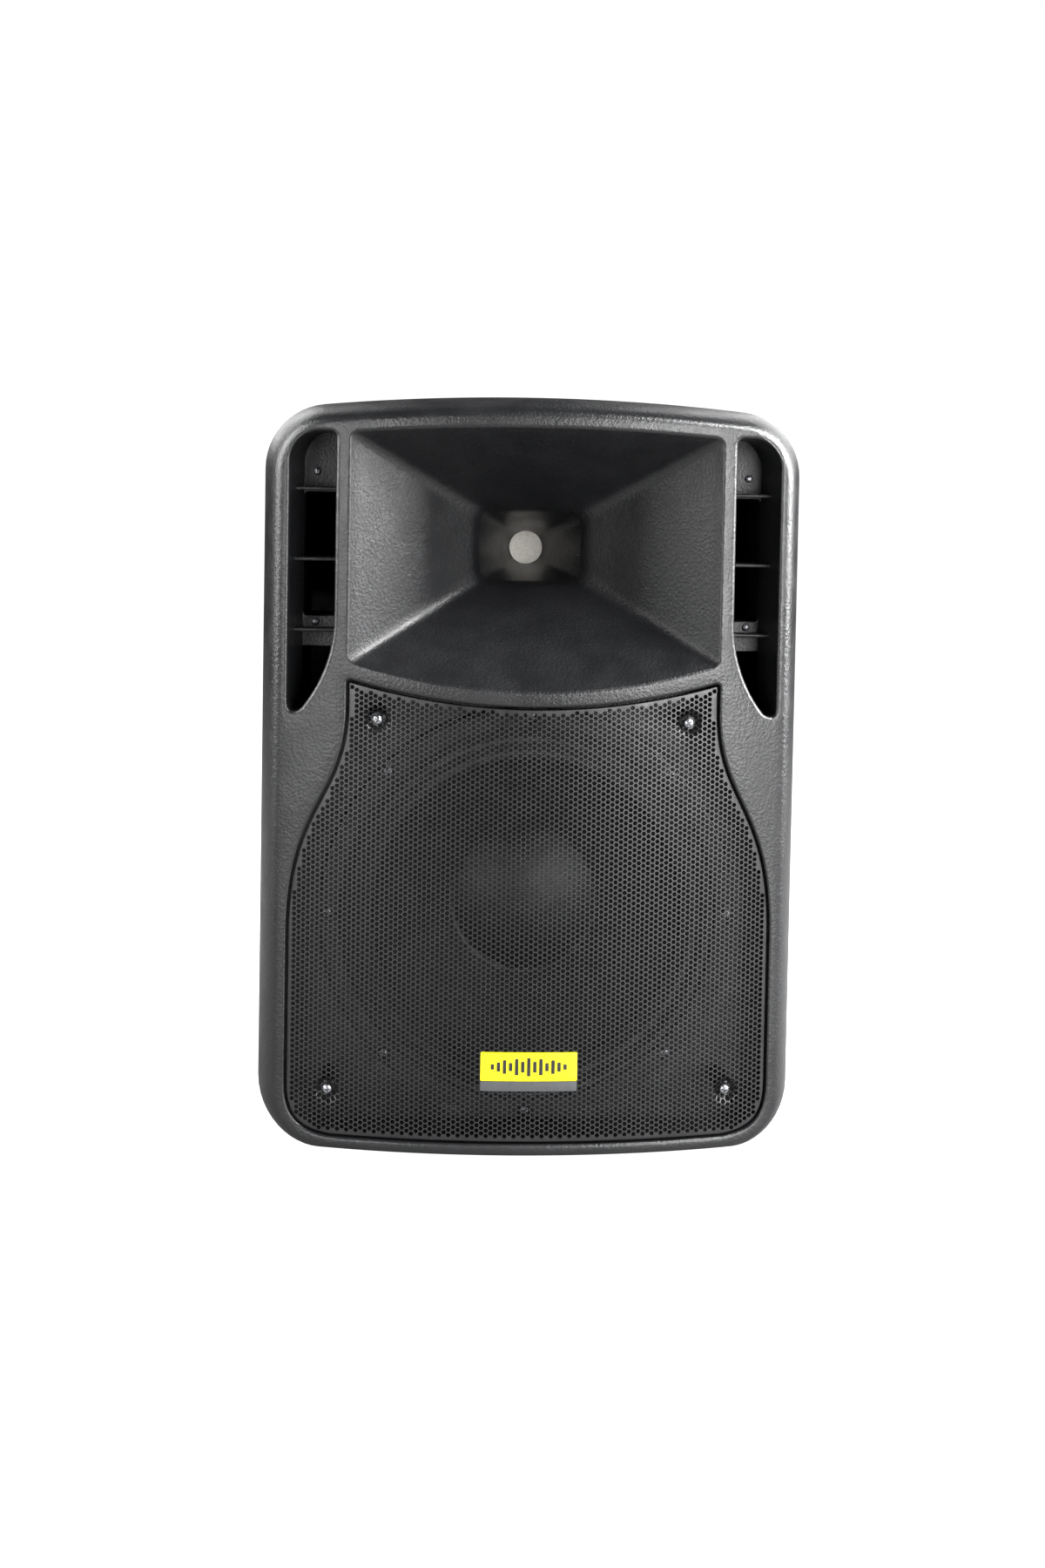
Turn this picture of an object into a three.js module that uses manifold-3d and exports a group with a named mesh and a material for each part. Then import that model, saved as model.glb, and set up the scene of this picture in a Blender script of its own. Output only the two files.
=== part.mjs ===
// A passive two-way PA loudspeaker: moulded cabinet with a curved front, a horn flare, two vaned reflex
// ports, a 12 inch woofer behind a perforated grille and a 1 inch compression driver.
// Millimetres. +Z is up, the front faces -Y, X is the width. The origin is on the floor, at the middle
// of the width and of the depth. "depth" always means the distance behind the foremost line of the front.

import * as THREE from 'three';
import { ConvexGeometry } from 'three/addons/geometries/ConvexGeometry.js';
import { mergeVertices } from 'three/addons/utils/BufferGeometryUtils.js';
import Module from 'manifold-3d';

const wasm = await Module();
wasm.setup();

// Cabinet
const WIDTH = 395;
const HEIGHT = 553;
const DEPTH = 320;
const FRONT_RADIUS = 587;
const WALL = 5;
const FOOT_HEIGHT = 6;
const GAP = 0.3;
const CROWN = THREE.MathUtils.degToRad(5.5);
const RIM_WIDTH = 17;
const RIM_BOTTOM = 8;
const WIDEST_DEPTH = 83;
const PARTING_DEPTH = 88;
const REAR_HALF_WIDTH = 139;
const REAR_TOP = 544;
const REAR_ROUNDING = 10;

// Horn
const MOUTH_HALF_WIDTH = 132.9;
const MOUTH_TOP = 529;
const MOUTH_SHOULDER = 524;
const MOUTH_CORNER = 361;
const MOUTH_BOTTOM = 342.3;
const THROAT_Z = 440;
const THROAT_RADIUS = 13;
const THROAT_DEPTH = 169;
const DRIVER_MAGNET_END = THROAT_DEPTH + 31;
const KNEE_DEPTH = 94;
const KNEE_HALF_WIDTH = 40.5;
const KNEE_Z = 443;
const KNEE_HALF_HEIGHT = 27;
const FLARE_WALL = 4;
const COLLAR_RADIUS = 40;
const COLLAR_THICKNESS = 7;
const BOLT_PLACES = [-30, 30];
const BOLT_HOLE = 3.3;

// Port windows
const WINDOW_INNER = 142.7;
const WINDOW_OUTER = 175.7;
const WINDOW_TOP = 523.7;
const WINDOW_TIP_X = 171.9;
const WINDOW_TIP = 323.8;
const WINDOW_CURVE_START = 392;
const TUNNEL_WALL = 3;
const TUNNEL_DEPTH = 62;
const VANE_DEPTH = 48;
const VANE_HEIGHTS = [381.2, 432.5, 483.4];
const PORT_SCREWS = { x: 158.5, heights: [386.2, 495.9] };
const PORT_SCREW = { head: 2.8, height: 2, shank: 1.4, length: 9 };
const VANE_THICKNESS = 2.8;
const DUCT_LENGTH = 55;

// Grille and badge
const GRILLE_HALF_WIDTH = 174.5;
const GRILLE_NECK = 133;
const GRILLE_TOP = 332;
const GRILLE_SHOULDER = 349;
const GRILLE_BOTTOM = 20.5;
const GRILLE_CLEARANCE = 1.8;
const GRILLE_RECESS = 1.5;
const GRILLE_SHEET = 1.5;
const BADGE_HALF_WIDTH = 34.3;
const BADGE_Z = [58.7, 86.5];
const GRILLE_SCREW = { head: 3.4, height: 2.4, shank: 2.2, length: 16 };
const GRILLE_SCREWS = [[-110.7, 320.5], [110.7, 320.5], [-143.1, 53.9], [143.1, 53.9]];
const DIMPLE_RADIUS = 9;
const DIMPLE_DEPTH = 4.5;

// Woofer
const WOOFER_Z = 174;
const FRAME_RADIUS = 152;
const FRAME_DEPTH = 54;
const BAFFLE_DEPTH = 59;
const BAFFLE_THICKNESS = 12;
const POCKET_WALL = 4;
const BOSS_RADIUS = 6;
const SCREW_HOLE = 2.6;
const SMALL_SCREW_HOLE = 1.8;
const CUTOUT_RADIUS = 142;
const SCREW_CIRCLE = 147;
const WOOFER_SCREWS = 8;
const WOOFER_SCREW = { head: 4.2, height: 3, shank: 2.2, length: 18 };
const SURROUND_OUTER = 137.5;
const CONE_RADIUS = 115.8;
const CAP_RADIUS = 54;
const COIL_RADIUS = 36;
const TOP_PLATE_DEPTH = 140;
const MAGNET_DEPTH = 148;
const MAGNET_END = 169;
const MOTOR_RADIUS = 74;
const MAGNET_RADIUS = 78;
const BACK_PLATE_THICKNESS = 8;

// Rear
const POLE_Y = 20;
const POLE_RADIUS = 18.2;
const POLE_LENGTH = 82;
const POLE_HOLE_RADIUS = 24;
const POLE_FLANGE_RADIUS = 38;
const PLATE_Z = 250;
const PLATE_HALF = [70, 52];
const PLATE_SHEET = 3;
const LEDGE_WIDTH = 8;
const LEDGE_DEPTH = 9;
const PILLAR_PLACES = [[-50, -35], [50, -35], [-50, 35], [50, 35]];
const BOARD_DEPTH = DEPTH - 38;
const SOCKET_X = 26;
const SOCKET_RADIUS = 10.5;
const BARREL_RADIUS = 13;

const HANDLE = { floor: 128, near: 185, far: 235, low: 290, high: 410, wall: 4 };
const FEET = [['front', 110, -92], ['rear', 95, 118]];

// Spacing of the points on lofted outlines
const LINE_STEP = 40;
const CURVE_STEP = 16;

const FRONT_Y = -DEPTH / 2;
const sag = (x) => FRONT_RADIUS - Math.sqrt(FRONT_RADIUS ** 2 - x ** 2);
const at = (depth) => FRONT_Y + depth;

const materials = {
  shell: new THREE.MeshStandardMaterial({ color: 0x2b2c2e, roughness: 0.55, metalness: 0 }),
  trim: new THREE.MeshStandardMaterial({ color: 0x1d1e20, roughness: 0.6, metalness: 0 }),
  grille: new THREE.MeshStandardMaterial({ color: 0x17181a, roughness: 0.45, metalness: 0.6 }),
  badge: new THREE.MeshStandardMaterial({ color: 0xf2e008, roughness: 0.35, metalness: 0 }),
  chrome: new THREE.MeshStandardMaterial({ color: 0xc9ccd0, roughness: 0.2, metalness: 1 }),
  screw: new THREE.MeshStandardMaterial({ color: 0x333436, roughness: 0.4, metalness: 0.8 }),
  frame: new THREE.MeshStandardMaterial({ color: 0x26272a, roughness: 0.5, metalness: 0.7 }),
  paper: new THREE.MeshStandardMaterial({ color: 0x222224, roughness: 0.85, metalness: 0 }),
  rubber: new THREE.MeshStandardMaterial({ color: 0x161617, roughness: 0.8, metalness: 0 }),
  ferrite: new THREE.MeshStandardMaterial({ color: 0x3c3c3f, roughness: 0.7, metalness: 0 }),
  steel: new THREE.MeshStandardMaterial({ color: 0x9ea1a5, roughness: 0.35, metalness: 0.9 }),
  copper: new THREE.MeshStandardMaterial({ color: 0xb4703c, roughness: 0.4, metalness: 0.9 }),
  board: new THREE.MeshStandardMaterial({ color: 0x275a34, roughness: 0.6, metalness: 0 }),
};

// --- Solids -------------------------------------------------------------------------------------

// Turns a closed three.js geometry into a solid that can be joined and cut.
function solid(geometry) {
  geometry.deleteAttribute('normal');
  geometry.deleteAttribute('uv');
  const merged = mergeVertices(geometry, 1e-4);
  const index = Array.from(merged.index.array);
  const triangles = [];
  for (let i = 0; i < index.length; i += 3) {
    const [a, b, c] = index.slice(i, i + 3);
    if (a !== b && b !== c && c !== a) triangles.push(a, b, c);
  }
  return new wasm.Manifold(new wasm.Mesh({
    numProp: 3,
    vertProperties: merged.attributes.position.array,
    triVerts: Uint32Array.from(triangles),
  }));
}

const join = (...solids) => solids.reduce((whole, next) => whole.add(next));
const cut = (whole, ...tools) => tools.reduce((rest, tool) => rest.subtract(tool), whole);

// A box from its low and high corners.
function box(low, high) {
  const size = high.map((value, i) => value - low[i]);
  const middle = high.map((value, i) => (value + low[i]) / 2);
  return solid(new THREE.BoxGeometry(...size).translate(...middle));
}

// A shape drawn in X and Z, extruded between two depths.
function prism(shape, nearDepth, farDepth) {
  const options = { depth: farDepth - nearDepth, bevelEnabled: false, curveSegments: 6 };
  const geometry = new THREE.ExtrudeGeometry(shape, options);
  return solid(geometry.rotateX(Math.PI / 2).translate(0, at(farDepth), 0));
}

// A round bar along Y between two depths.
function bar(radius, nearDepth, farDepth, x, z, sides = 20) {
  const geometry = new THREE.CylinderGeometry(radius, radius, farDepth - nearDepth, sides);
  return solid(geometry.translate(x, at((nearDepth + farDepth) / 2), z));
}

// A round bar along Z on the pole's axis, between two heights.
function upright(radius, low, high, sides = 32) {
  const geometry = new THREE.CylinderGeometry(radius, radius, high - low, sides).rotateX(Math.PI / 2);
  return solid(geometry.translate(0, POLE_Y, (low + high) / 2));
}

// A profile of [radius, depth] points turned about an axis along Y.
function turned(profile, x, z, sides = 32) {
  const points = profile.map(([radius, depth]) => new THREE.Vector2(radius, at(depth)));
  if (THREE.ShapeUtils.isClockWise(points)) points.reverse();
  points.push(points[0].clone());
  return solid(new THREE.LatheGeometry(points, sides).translate(x, 0, z));
}

// Points along a shape: close together on its curves, and on straight runs only as far apart as the
// curved front needs.
function outlinePoints(shape) {
  return shape.curves.flatMap((curve) => {
    const [start, end] = [curve.getPoint(0), curve.getPoint(1)];
    const straight = curve instanceof THREE.LineCurve;
    const steps = straight ? Math.abs(end.x - start.x) / LINE_STEP : curve.getLength() / CURVE_STEP;
    return curve.getPoints(Math.max(straight ? 1 : 5, Math.ceil(steps)));
  });
}

// The convex solid around rings of points. A ring is a shape in X and Z and the Y of each of its points.
function loft(...rings) {
  const points = rings.flatMap(([shape, yOf]) => (
    outlinePoints(shape).map(({ x, y: z }) => new THREE.Vector3(x, yOf(x), z))
  ));
  return solid(new ConvexGeometry(points));
}

// A sheet that follows the curved front between two depths, over the whole height.
function frontSheet(nearDepth, farDepth) {
  const centre = FRONT_Y + FRONT_RADIUS;
  const half = Math.asin(WIDTH / 2 / FRONT_RADIUS);
  const middle = -Math.PI / 2;
  const shape = new THREE.Shape();
  shape.absarc(0, centre, FRONT_RADIUS - nearDepth, middle - half, middle + half, false);
  shape.absarc(0, centre, FRONT_RADIUS - farDepth, middle + half, middle - half, true);
  return solid(new THREE.ExtrudeGeometry(shape, { depth: HEIGHT, bevelEnabled: false, curveSegments: 18 }));
}

// The same solid on the other side of the middle plane.
function mirrored(whole) {
  const { vertProperties, triVerts } = whole.getMesh();
  for (let i = 0; i < vertProperties.length; i += 3) vertProperties[i] *= -1;
  for (let i = 0; i < triVerts.length; i += 3) {
    [triVerts[i], triVerts[i + 1]] = [triVerts[i + 1], triVerts[i]];
  }
  return new wasm.Manifold(new wasm.Mesh({ numProp: 3, vertProperties, triVerts }));
}

const model = new THREE.Group();

function place(name, whole, material) {
  const { vertProperties, triVerts } = whole.getMesh();
  const geometry = new THREE.BufferGeometry();
  geometry.setAttribute('position', new THREE.BufferAttribute(vertProperties, 3));
  geometry.setIndex(new THREE.BufferAttribute(triVerts, 1));
  geometry.computeVertexNormals();
  const mesh = new THREE.Mesh(geometry, material);
  mesh.name = name;
  model.add(mesh);
}

// --- Outlines in X and Z --------------------------------------------------------------------------

// The cabinet's section: flat base, round corners and a slightly crowned top.
function cabinetOutline(halfWidth, bottom, top, baseCorner, topCorner) {
  const endX = halfWidth - topCorner * (1 - Math.sin(CROWN));
  const cornerZ = top - endX * Math.tan(CROWN) / 2 - topCorner * Math.cos(CROWN);
  const endZ = cornerZ + topCorner * Math.cos(CROWN);
  const shape = new THREE.Shape();
  shape.moveTo(0, bottom);
  shape.absarc(halfWidth - baseCorner, bottom + baseCorner, baseCorner, -Math.PI / 2, 0, false);
  shape.absarc(halfWidth - topCorner, cornerZ, topCorner, 0, Math.PI / 2 - CROWN, false);
  shape.quadraticCurveTo(0, endZ + endX * Math.tan(CROWN), -endX, endZ);
  shape.absarc(topCorner - halfWidth, cornerZ, topCorner, Math.PI / 2 + CROWN, Math.PI, false);
  shape.absarc(baseCorner - halfWidth, bottom + baseCorner, baseCorner, Math.PI, Math.PI * 1.5, false);
  shape.closePath();
  return shape;
}

// The horn's mouth: upright sides, a slightly arched top and a deeper arc below.
function mouthOutline(grow = 0) {
  const half = MOUTH_HALF_WIDTH + grow;
  const shape = new THREE.Shape();
  shape.moveTo(-half, MOUTH_CORNER - grow);
  shape.quadraticCurveTo(0, 2 * MOUTH_BOTTOM - MOUTH_CORNER - grow, half, MOUTH_CORNER - grow);
  shape.lineTo(half, MOUTH_SHOULDER + grow - 4);
  shape.lineTo(half - 4, MOUTH_SHOULDER + grow);
  shape.quadraticCurveTo(0, 2 * MOUTH_TOP - MOUTH_SHOULDER + grow, 4 - half, MOUTH_SHOULDER + grow);
  shape.lineTo(-half, MOUTH_SHOULDER + grow - 4);
  shape.closePath();
  return shape;
}

function kneeOutline(grow = 0) {
  const half = KNEE_HALF_WIDTH + grow;
  const shape = new THREE.Shape();
  shape.moveTo(-half, KNEE_Z - KNEE_HALF_HEIGHT - grow);
  shape.lineTo(half, KNEE_Z - KNEE_HALF_HEIGHT - grow);
  shape.lineTo(half, KNEE_Z + KNEE_HALF_HEIGHT + grow);
  shape.lineTo(-half, KNEE_Z + KNEE_HALF_HEIGHT + grow);
  shape.closePath();
  return shape;
}

function circle(radius, x, z) {
  const quarter = Math.PI / 2;
  const shape = new THREE.Shape();
  for (let i = 0; i < 4; i += 1) shape.absarc(x, z, radius, i * quarter, (i + 1) * quarter, false);
  return shape;
}

// The right-hand port window: upright, with a large outer top corner and a tip that sweeps outwards.
function windowOutline(grow = 0) {
  const inner = WINDOW_INNER - grow;
  const outer = WINDOW_OUTER + grow;
  const top = WINDOW_TOP + grow;
  const shape = new THREE.Shape();
  shape.moveTo(outer, WINDOW_TIP + 8);
  shape.lineTo(outer, top - 24);
  shape.quadraticCurveTo(outer - 2, top - 2, inner + 7, top);
  shape.quadraticCurveTo(inner, top, inner, top - 7);
  shape.lineTo(inner, WINDOW_CURVE_START);
  shape.quadraticCurveTo(inner, WINDOW_TIP + 28, WINDOW_TIP_X - 6, WINDOW_TIP + 2.5 - grow);
  shape.quadraticCurveTo(outer, WINDOW_TIP - 5 - grow, outer, WINDOW_TIP + 8);
  return shape;
}

// The grille's recess: arched top, a narrow neck that widens in an S curve, and round lower corners.
function grilleOutline(grow = 0) {
  const half = GRILLE_HALF_WIDTH + grow;
  const neck = GRILLE_NECK + grow;
  const bottom = GRILLE_BOTTOM - grow;
  const shoulder = GRILLE_SHOULDER + grow;
  const shape = new THREE.Shape();
  shape.moveTo(-half + 34, bottom);
  shape.lineTo(half - 34, bottom);
  shape.bezierCurveTo(half - 10, bottom + 2, half, bottom + 12, half, bottom + 36);
  shape.lineTo(half, 165);
  shape.bezierCurveTo(half, 258, neck + 2, 262, neck, shoulder - 24);
  shape.lineTo(neck, shoulder - 3);
  shape.lineTo(neck - 3, shoulder);
  shape.quadraticCurveTo(0, 2 * GRILLE_TOP - GRILLE_SHOULDER + grow, 3 - neck, shoulder);
  shape.lineTo(-neck, shoulder - 3);
  shape.lineTo(-neck, shoulder - 24);
  shape.bezierCurveTo(-neck - 2, 262, -half, 258, -half, 165);
  shape.lineTo(-half, bottom + 36);
  shape.bezierCurveTo(-half, bottom + 12, 10 - half, bottom + 2, 34 - half, bottom);
  return shape;
}

// --- Cabinet --------------------------------------------------------------------------------------

// The cabinet's outer form, or with an inset the hollow inside its wall.
function cabinetForm(inset = 0) {
  const rings = [];
  const widest = at(WIDEST_DEPTH);
  for (const degrees of inset ? [0, 45, 90] : [0, 18, 38, 62, 90]) {
    const turn = THREE.MathUtils.degToRad(degrees);
    const rim = 1 - Math.sin(turn);
    const outline = cabinetOutline(
      WIDTH / 2 - inset - RIM_WIDTH * rim,
      FOOT_HEIGHT + inset + RIM_BOTTOM * rim,
      HEIGHT - inset - RIM_WIDTH * rim,
      44 - inset - 10 * rim,
      48 - inset - 12 * rim,
    );
    const back = 1 - Math.cos(turn);
    rings.push([outline, (x) => THREE.MathUtils.lerp(at(sag(x) + inset), widest, back)]);
  }
  const rear = [[0, DEPTH - REAR_ROUNDING], [3, DEPTH - 3], [REAR_ROUNDING, DEPTH]];
  for (const [rounding, depth] of rear) {
    const outline = cabinetOutline(
      REAR_HALF_WIDTH - inset - rounding,
      FOOT_HEIGHT + inset + rounding,
      REAR_TOP - inset - rounding,
      30 - inset,
      34 - inset,
    );
    rings.push([outline, () => at(depth - inset)]);
  }
  return loft(...rings);
}

const behind = (depth) => box([-WIDTH, at(depth), -20], [WIDTH, DEPTH, HEIGHT + 20]);
const outerForm = cabinetForm();
const innerForm = cabinetForm(WALL);

// The air space of the horn, or with a wall thickness the body around it.
function flare(wall = 0) {
  const reach = 30;
  const mouth = loft(
    [mouthOutline(wall), (x) => at(sag(x) - reach)],
    [mouthOutline(wall), (x) => at(sag(x))],
    [kneeOutline(wall), () => at(KNEE_DEPTH)],
  );
  const neck = loft(
    [kneeOutline(wall), () => at(KNEE_DEPTH - 0.5)],
    [circle(THROAT_RADIUS + wall, 0, THROAT_Z), () => at(THROAT_DEPTH + (wall ? 0 : 1))],
  );
  return join(mouth, neck);
}

function frontShell() {
  const tunnel = prism(windowOutline(TUNNEL_WALL), -10, TUNNEL_DEPTH);
  const pocketEnd = BAFFLE_DEPTH + BAFFLE_THICKNESS;
  const bodies = join(prism(grilleOutline(POCKET_WALL), -10, pocketEnd), tunnel, mirrored(tunnel));
  const rearWall = cut(behind(PARTING_DEPTH), innerForm);
  const opening = prism(windowOutline(), -10, TUNNEL_DEPTH + 5);
  let shell = cut(
    outerForm,
    cut(innerForm, bodies),
    rearWall,
    flare(),
    opening,
    mirrored(opening),
    prism(grilleOutline(), -10, BAFFLE_DEPTH),
    bar(CUTOUT_RADIUS, 0, pocketEnd + 5, 0, WOOFER_Z, 48),
  );
  for (const [x, z] of GRILLE_SCREWS) {
    const top = sag(x) + DIMPLE_DEPTH + GRILLE_SHEET + GAP;
    const boss = bar(BOSS_RADIUS, top, BAFFLE_DEPTH + 1, x, z, 16);
    shell = cut(shell.add(boss), bar(SCREW_HOLE, 0, top + 20, x, z, 12));
  }
  for (const [x, z] of wooferScrewPlaces()) shell = cut(shell, bar(SCREW_HOLE, 50, pocketEnd + 5, x, z, 10));
  return shell;
}

// The horn behind its mouth in the front: four panels, a neck and the collar that the driver bolts to.
function hornFlare() {
  const collar = bar(COLLAR_RADIUS, THROAT_DEPTH - COLLAR_THICKNESS, THROAT_DEPTH, 0, THROAT_Z, 32);
  const behindFront = cabinetForm(WALL + GAP);
  let horn = cut(join(flare(FLARE_WALL).intersect(behindFront), collar), flare());
  for (const x of BOLT_PLACES) {
    horn = cut(horn, bar(BOLT_HOLE, THROAT_DEPTH - 10, THROAT_DEPTH + 5, x, THROAT_Z, 12));
  }
  return horn;
}

function rearShell() {
  const { floor, near, far, low, high, wall } = HANDLE;
  const pocket = box([floor, at(near), low], [WIDTH, at(far), high]);
  const pocketBody = box([floor - wall, at(near - wall), low - wall], [WIDTH, at(far + wall), high + wall]);
  const plateBlock = (grow, near) => box(
    [-PLATE_HALF[0] - grow, at(near), PLATE_Z - PLATE_HALF[1] - grow],
    [PLATE_HALF[0] + grow, DEPTH, PLATE_Z + PLATE_HALF[1] + grow],
  );
  const ledge = plateBlock(LEDGE_WIDTH, DEPTH - LEDGE_DEPTH);
  const bodies = join(pocketBody, mirrored(pocketBody), ledge);
  const recess = plateBlock(GAP, DEPTH - PLATE_SHEET);
  const through = plateBlock(-LEDGE_WIDTH, DEPTH - 20);
  const ahead = box([-WIDTH, -DEPTH, -20], [WIDTH, at(PARTING_DEPTH + GAP), HEIGHT + 20]);
  const shell = cut(outerForm, ahead, cut(innerForm, bodies));
  const poleHole = upright(POLE_HOLE_RADIUS, -5, 25);
  const screwHoles = plateScrewPlaces().map(([x, z]) => bar(SMALL_SCREW_HOLE, DEPTH - 12, DEPTH, x, z, 10));
  return cut(shell, pocket, mirrored(pocket), recess, through, poleHole, ...screwHoles);
}

function foot(x, y) {
  const profile = [[0, 0], [11, 0], [12.5, 1.5], [13, FOOT_HEIGHT - 0.5], [0, FOOT_HEIGHT - 0.5]];
  const points = profile.map(([radius, height]) => new THREE.Vector2(radius, height));
  return solid(new THREE.LatheGeometry(points, 24).rotateX(Math.PI / 2).translate(x, y, 0));
}

// --- Grille, badge and ports ----------------------------------------------------------------------

function grille() {
  const sheet = frontSheet(GRILLE_RECESS, GRILLE_RECESS + GRILLE_SHEET);
  const bulk = frontSheet(GRILLE_RECESS, 60);
  let plate = sheet.intersect(prism(grilleOutline(-GRILLE_CLEARANCE), -10, 60));
  for (const [x, z] of GRILLE_SCREWS) {
    const floor = sag(x) + DIMPLE_DEPTH;
    const cup = bar(DIMPLE_RADIUS + GRILLE_SHEET, 0, floor + GRILLE_SHEET, x, z, 20).intersect(bulk);
    const hollow = bar(DIMPLE_RADIUS, -5, floor, x, z, 20);
    plate = cut(plate.add(cup), hollow, bar(SCREW_HOLE, 0, 60, x, z, 12));
  }
  return plate;
}

// A pan-head screw along Y with its head's underside at a given depth.
function panScrew({ head, height, shank, length }, depth, x, z) {
  const profile = [
    [0, depth - height],
    [head * 0.7, depth - height],
    [head, depth - height * 0.4],
    [head, depth],
    [shank, depth],
    [shank, depth + length],
    [0, depth + length],
  ];
  return turned(profile, x, z, 12);
}

// The cross in a screw's head, down to a given depth.
function crossSlot(reach, depth, x, z) {
  return join(
    box([x - reach, at(depth - 5), z - 0.5], [x + reach, at(depth), z + 0.5]),
    box([x - 0.5, at(depth - 5), z - reach], [x + 0.5, at(depth), z + reach]),
  );
}

function portDuct() {
  const near = TUNNEL_DEPTH + GAP;
  const face = near + 3.5;
  const [low, , high] = VANE_HEIGHTS;
  const inner = WINDOW_INNER + 0.8;
  const outer = WINDOW_OUTER - 0.8;
  const airway = [low + 9.5, high - VANE_THICKNESS / 2 - 1];
  const frame = prism(windowOutline(TUNNEL_WALL), near, face);
  const tube = box(
    [inner - TUNNEL_WALL, at(near), airway[0] - TUNNEL_WALL],
    [outer + TUNNEL_WALL, at(near + DUCT_LENGTH), airway[1] + TUNNEL_WALL],
  );
  const tip = prism(windowOutline(-1), 0, 200).intersect(box([0, -DEPTH, 0], [WIDTH, DEPTH, low - 16]));
  const vanes = VANE_HEIGHTS.map((z) => box(
    [WINDOW_INNER - 1, at(VANE_DEPTH), z - VANE_THICKNESS / 2],
    [WINDOW_OUTER + 1, at(near + 1), z + VANE_THICKNESS / 2],
  ));
  const vaneSet = join(...vanes).intersect(prism(windowOutline(-GAP), 0, face));
  const middleVane = box(
    [inner - 1, at(near), VANE_HEIGHTS[1] - VANE_THICKNESS / 2],
    [outer + 1, at(near + DUCT_LENGTH / 2), VANE_HEIGHTS[1] + VANE_THICKNESS / 2],
  );
  const hollow = box([inner, at(near - 1), airway[0]], [outer, DEPTH, airway[1]]);
  let duct = join(cut(join(frame, tube), hollow, tip), vaneSet, middleVane);
  for (const z of PORT_SCREWS.heights) {
    duct = cut(duct, bar(SMALL_SCREW_HOLE, 0, face + 8, PORT_SCREWS.x, z, 10));
  }
  return duct;
}

// --- Woofer ---------------------------------------------------------------------------------------

function ringPlaces(count, radius, z, start = 0) {
  const places = [];
  for (let i = 0; i < count; i += 1) {
    const angle = start + (i / count) * Math.PI * 2;
    places.push([radius * Math.cos(angle), z + radius * Math.sin(angle)]);
  }
  return places;
}

const wooferScrewPlaces = () => ringPlaces(WOOFER_SCREWS, SCREW_CIRCLE, WOOFER_Z);

const coneDepth = (radius) => 57.5 + (CONE_RADIUS - radius) * 0.79;

function wooferFrame() {
  const profile = [
    [SURROUND_OUTER - 3, FRAME_DEPTH],
    [FRAME_RADIUS, FRAME_DEPTH],
    [FRAME_RADIUS, BAFFLE_DEPTH - GAP],
    [140.5, BAFFLE_DEPTH - GAP],
    [138, 72],
    [82, 137],
    [76, 140],
    [COIL_RADIUS + 8, 140],
    [COIL_RADIUS + 8, 136.5],
    [74, 136.5],
    [79, 134],
    [134.5, 70],
  ];
  let frame = turned(profile, 0, WOOFER_Z, 32);
  for (const [x, z] of ringPlaces(3, 105, WOOFER_Z, Math.PI / 6)) {
    const angle = Math.atan2(z - WOOFER_Z, x);
    const opening = new THREE.BoxGeometry(230, 52, 44).rotateY(-angle).translate(0, at(100), WOOFER_Z);
    frame = cut(frame, solid(opening));
  }
  for (const [x, z] of wooferScrewPlaces()) frame = cut(frame, bar(SCREW_HOLE, 50, 62, x, z, 10));
  return frame;
}

function wooferGasket() {
  const outer = FRAME_RADIUS - 1.5;
  const near = FRAME_DEPTH - 3;
  const far = FRAME_DEPTH - GAP;
  const profile = [[SURROUND_OUTER + 1, near], [outer, near], [outer, far], [SURROUND_OUTER + 1, far]];
  const notches = wooferScrewPlaces().map(([x, z]) => bar(6, near - 1, far + 1, x, z, 8));
  return cut(turned(profile, 0, WOOFER_Z, 48), ...notches);
}

// Two half-round ripples between the frame and the cone.
function surround() {
  const front = [];
  const inner = CONE_RADIUS + 0.4;
  const steps = 6;
  for (let i = 0; i <= steps; i += 1) {
    const radius = THREE.MathUtils.lerp(inner, SURROUND_OUTER, i / steps);
    const ripple = Math.abs(Math.sin((i / steps) * Math.PI * 2));
    front.push([radius, FRAME_DEPTH - 1.6 - 4.5 * ripple]);
  }
  const back = front.map(([radius, depth]) => [radius, depth + 1.2]).reverse();
  return turned([...front, ...back], 0, WOOFER_Z, 28);
}

function cone() {
  const neck = COIL_RADIUS + 2.2;
  const profile = [
    [CONE_RADIUS, coneDepth(CONE_RADIUS) - 3],
    [CONE_RADIUS, coneDepth(CONE_RADIUS) + 1.5],
    [neck, coneDepth(neck) + 1.5],
    [neck, coneDepth(neck)],
    [CONE_RADIUS - 2, coneDepth(CONE_RADIUS - 2)],
    [CONE_RADIUS - 2, coneDepth(CONE_RADIUS) - 3],
  ];
  return turned(profile, 0, WOOFER_Z, 40);
}

function dustCap() {
  const rise = 15;
  const steps = 4;
  const edge = coneDepth(CAP_RADIUS) - 1.8;
  const front = [];
  for (let i = 0; i <= steps; i += 1) {
    const radius = (CAP_RADIUS * i) / steps;
    front.push([radius, edge - rise * (1 - (i / steps) ** 2)]);
  }
  const back = front.map(([radius, depth]) => [radius, depth + 1.2]).reverse();
  return turned([...front, ...back], 0, WOOFER_Z, 24);
}

function ring(inner, outer, near, far, z, sides = 28) {
  return turned([[inner, near], [outer, near], [outer, far], [inner, far]], 0, z, sides);
}

function spider() {
  const profile = [];
  const steps = 6;
  const inner = COIL_RADIUS + 2.4;
  for (let i = 0; i <= steps; i += 1) {
    profile.push([THREE.MathUtils.lerp(inner, 73, i / steps), 127.5 + (i % 2 ? 2 : -2)]);
  }
  const back = profile.map(([radius, depth]) => [radius, depth + 1]).reverse();
  return turned([...profile, ...back], 0, WOOFER_Z, 20);
}

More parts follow.
